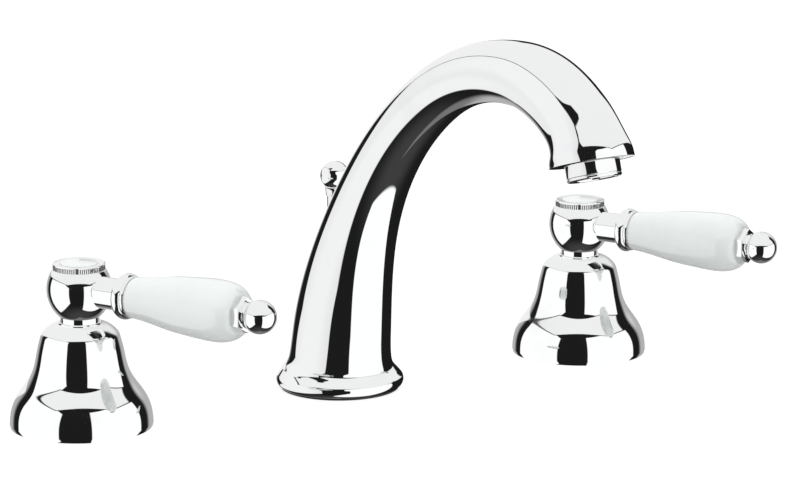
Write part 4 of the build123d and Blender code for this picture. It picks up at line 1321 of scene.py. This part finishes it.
inside = {unit: bpy.data.collections.new("inside_" + unit) for unit in TENTS}
for piece in [o for o in bpy.context.scene.objects if o.type == "MESH"]:
    side, end = piece.name.split("_")[0], piece.name.split("_")[-1]
    unit = "_lever" if end in ("hub", "disc", "stem", "grip", "tip") else "_valve"
    unit = side + unit if side in ("hot", "cold") else "spout"
    inside["both_rings" if end == "knurled" else unit].objects.link(piece)
for number, (unit, (x, values)) in enumerate(TENTS.items()):
    ball = tent(unit, x, BALL_METRES + NEXT_BALL * number, values)
    ball.light_linking.receiver_collection = inside[unit]

# %% What the world shows to other rays
world = bpy.data.worlds.new("studio")
bpy.context.scene.world = world
lay = bare_bench(world)
upwards = lay.lay("ShaderNodeTexCoord").outputs["Generated"]
up = lay.lay("ShaderNodeSeparateXYZ", {0: upwards}).outputs["Z"]
light_path = lay.lay("ShaderNodeLightPath").outputs
straight = lay.most(light_path["Is Camera Ray"], light_path["Is Transmission Ray"])
BELOW, ABOVE = 0.22, 1.02
sky = lay.ramp(up, -1.0, 1.0, BELOW, ABOVE)
not_glossy = lay.minus(1.0, light_path["Is Glossy Ray"])
brightness = lay.most(lay.times(sky, not_glossy), straight)
studio_light = {"Color": (1, 1, 1, 1), "Strength": brightness}
lay.lay("ShaderNodeOutputWorld", {"Surface": lay.take("ShaderNodeBackground", studio_light)})
print("camera rays see white, matt surfaces an even sky, and reflections the tents")

# %% [markdown]
# On a real deck the units would also mirror one another and what is inside them. In the
# photograph they don't, so only the levers are left in reflections: they show in the bells.

# %% Pieces that leave no reflection
for piece in [piece for unit in inside.values() for piece in unit.objects]:
    piece.visible_glossy = piece.name.split("_")[-1] in ("stem", "grip", "tip")
print("the levers stay in reflections")

# %% [markdown]
# The basin deck is a plain pale floor that keeps a soft shadow. For the camera it glows just
# enough to be white where nothing shades it. It hides what hangs under the deck, and it is
# see-through from below, so that the nuts and threads can still be looked at from there.

# %% The deck and two soft lamps
deck_mesh = bpy.data.meshes.new("deck")
FAR = 6.0
deck_mesh.from_pydata(
    [(-FAR, -FAR, 0), (FAR, -FAR, 0), (FAR, FAR, 0), (-FAR, FAR, 0)], [], [(0, 1, 2, 3)]
)
deck = put("deck", deck_mesh)
deck_finish = bpy.data.materials.new("pale_deck")
lay = bare_bench(deck_finish)
DECK_TONE, SHADOW_TONE, DECK_GLOW = 0.75, 0.3, 0.78
matt = lay.take("ShaderNodeBsdfDiffuse", {"Color": (DECK_TONE, DECK_TONE, DECK_TONE, 1)})
shade = lay.take("ShaderNodeBsdfDiffuse", {"Color": (SHADOW_TONE, SHADOW_TONE, SHADOW_TONE, 1)})
glow = lay.take("ShaderNodeEmission", {"Strength": DECK_GLOW})
white = lay.take("ShaderNodeAddShader", {0: shade, 1: glow})
seen = lay.lay("ShaderNodeLightPath").outputs["Is Camera Ray"]
top_side = lay.take("ShaderNodeMixShader", {0: seen, 1: matt, 2: white})
clear = lay.take("ShaderNodeBsdfTransparent")
behind = lay.lay("ShaderNodeNewGeometry").outputs["Backfacing"]
both_sides = lay.take("ShaderNodeMixShader", {0: behind, 1: top_side, 2: clear})
lay.lay("ShaderNodeOutputMaterial", {"Surface": both_sides})
deck.data.materials.append(deck_finish)
deck.visible_glossy = False
deck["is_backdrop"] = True


def soft_lamp(name, aim, where, size, watts):
    """A large square lamp that lights matt surfaces and is itself not reflected."""
    light = bpy.data.lights.new(name, "AREA")
    light.energy, light.size = watts, size
    lamp = put(name, light)
    lamp.location = where
    lamp.rotation_mode = "QUATERNION"
    lamp.rotation_quaternion = (Vector(where) - Vector(aim)).to_track_quat("Z", "Y")
    lamp.visible_glossy = False


LAMPS_AIM = (0, 0, 0.05)
soft_lamp("key_lamp", LAMPS_AIM, (-0.9, -0.7, 1.5), 1.2, 4.5)
soft_lamp("back_lamp", LAMPS_AIM, (0.8, 0.9, 1.3), 1.0, 2.5)
print("deck and lamps are up")

# %% [markdown]
# ## Camera
# The photograph was taken from the left and a little above, with a long lens. The focal
# length, distance and aim were worked out from the feet of the three units and from the two
# identical handles.

# %% Place the camera
AIM = Vector((28.16, 0.0, 56.42)) * MM
CAMERA_DISTANCE, FOCAL_LENGTH = 1.5, 168.75
CAMERA_AZIMUTH, CAMERA_ELEVATION = -31.5, 12.2
turn, tilt = math.radians(CAMERA_AZIMUTH), math.radians(CAMERA_ELEVATION)
level = Vector((math.sin(turn), -math.cos(turn), 0.0))
backward = level * math.cos(tilt) + Vector((0.0, 0.0, math.sin(tilt)))
lens = bpy.data.cameras.new("camera")
lens.lens, lens.sensor_width = FOCAL_LENGTH, 36.0
camera = put("camera", lens)
camera.location = AIM + backward * CAMERA_DISTANCE
camera.rotation_mode = "QUATERNION"
camera.rotation_quaternion = (-backward).to_track_quat("-Z", "Y")
bpy.context.scene.camera = camera
bpy.context.scene.view_settings.view_transform = "Standard"
print("camera at", [round(c, 3) for c in camera.location])

# %% [markdown]
# ## The two boxes
# The dressed tap may not be larger than the part it dresses, so both boxes are written down.

# %% Write both sizes and finish
bpy.context.view_layer.update()
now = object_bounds()
for label, corners in (("part", cad_box), ("dressed", now)):
    print(label, [[round(c * 1000, 2) for c in corner] for corner in corners])
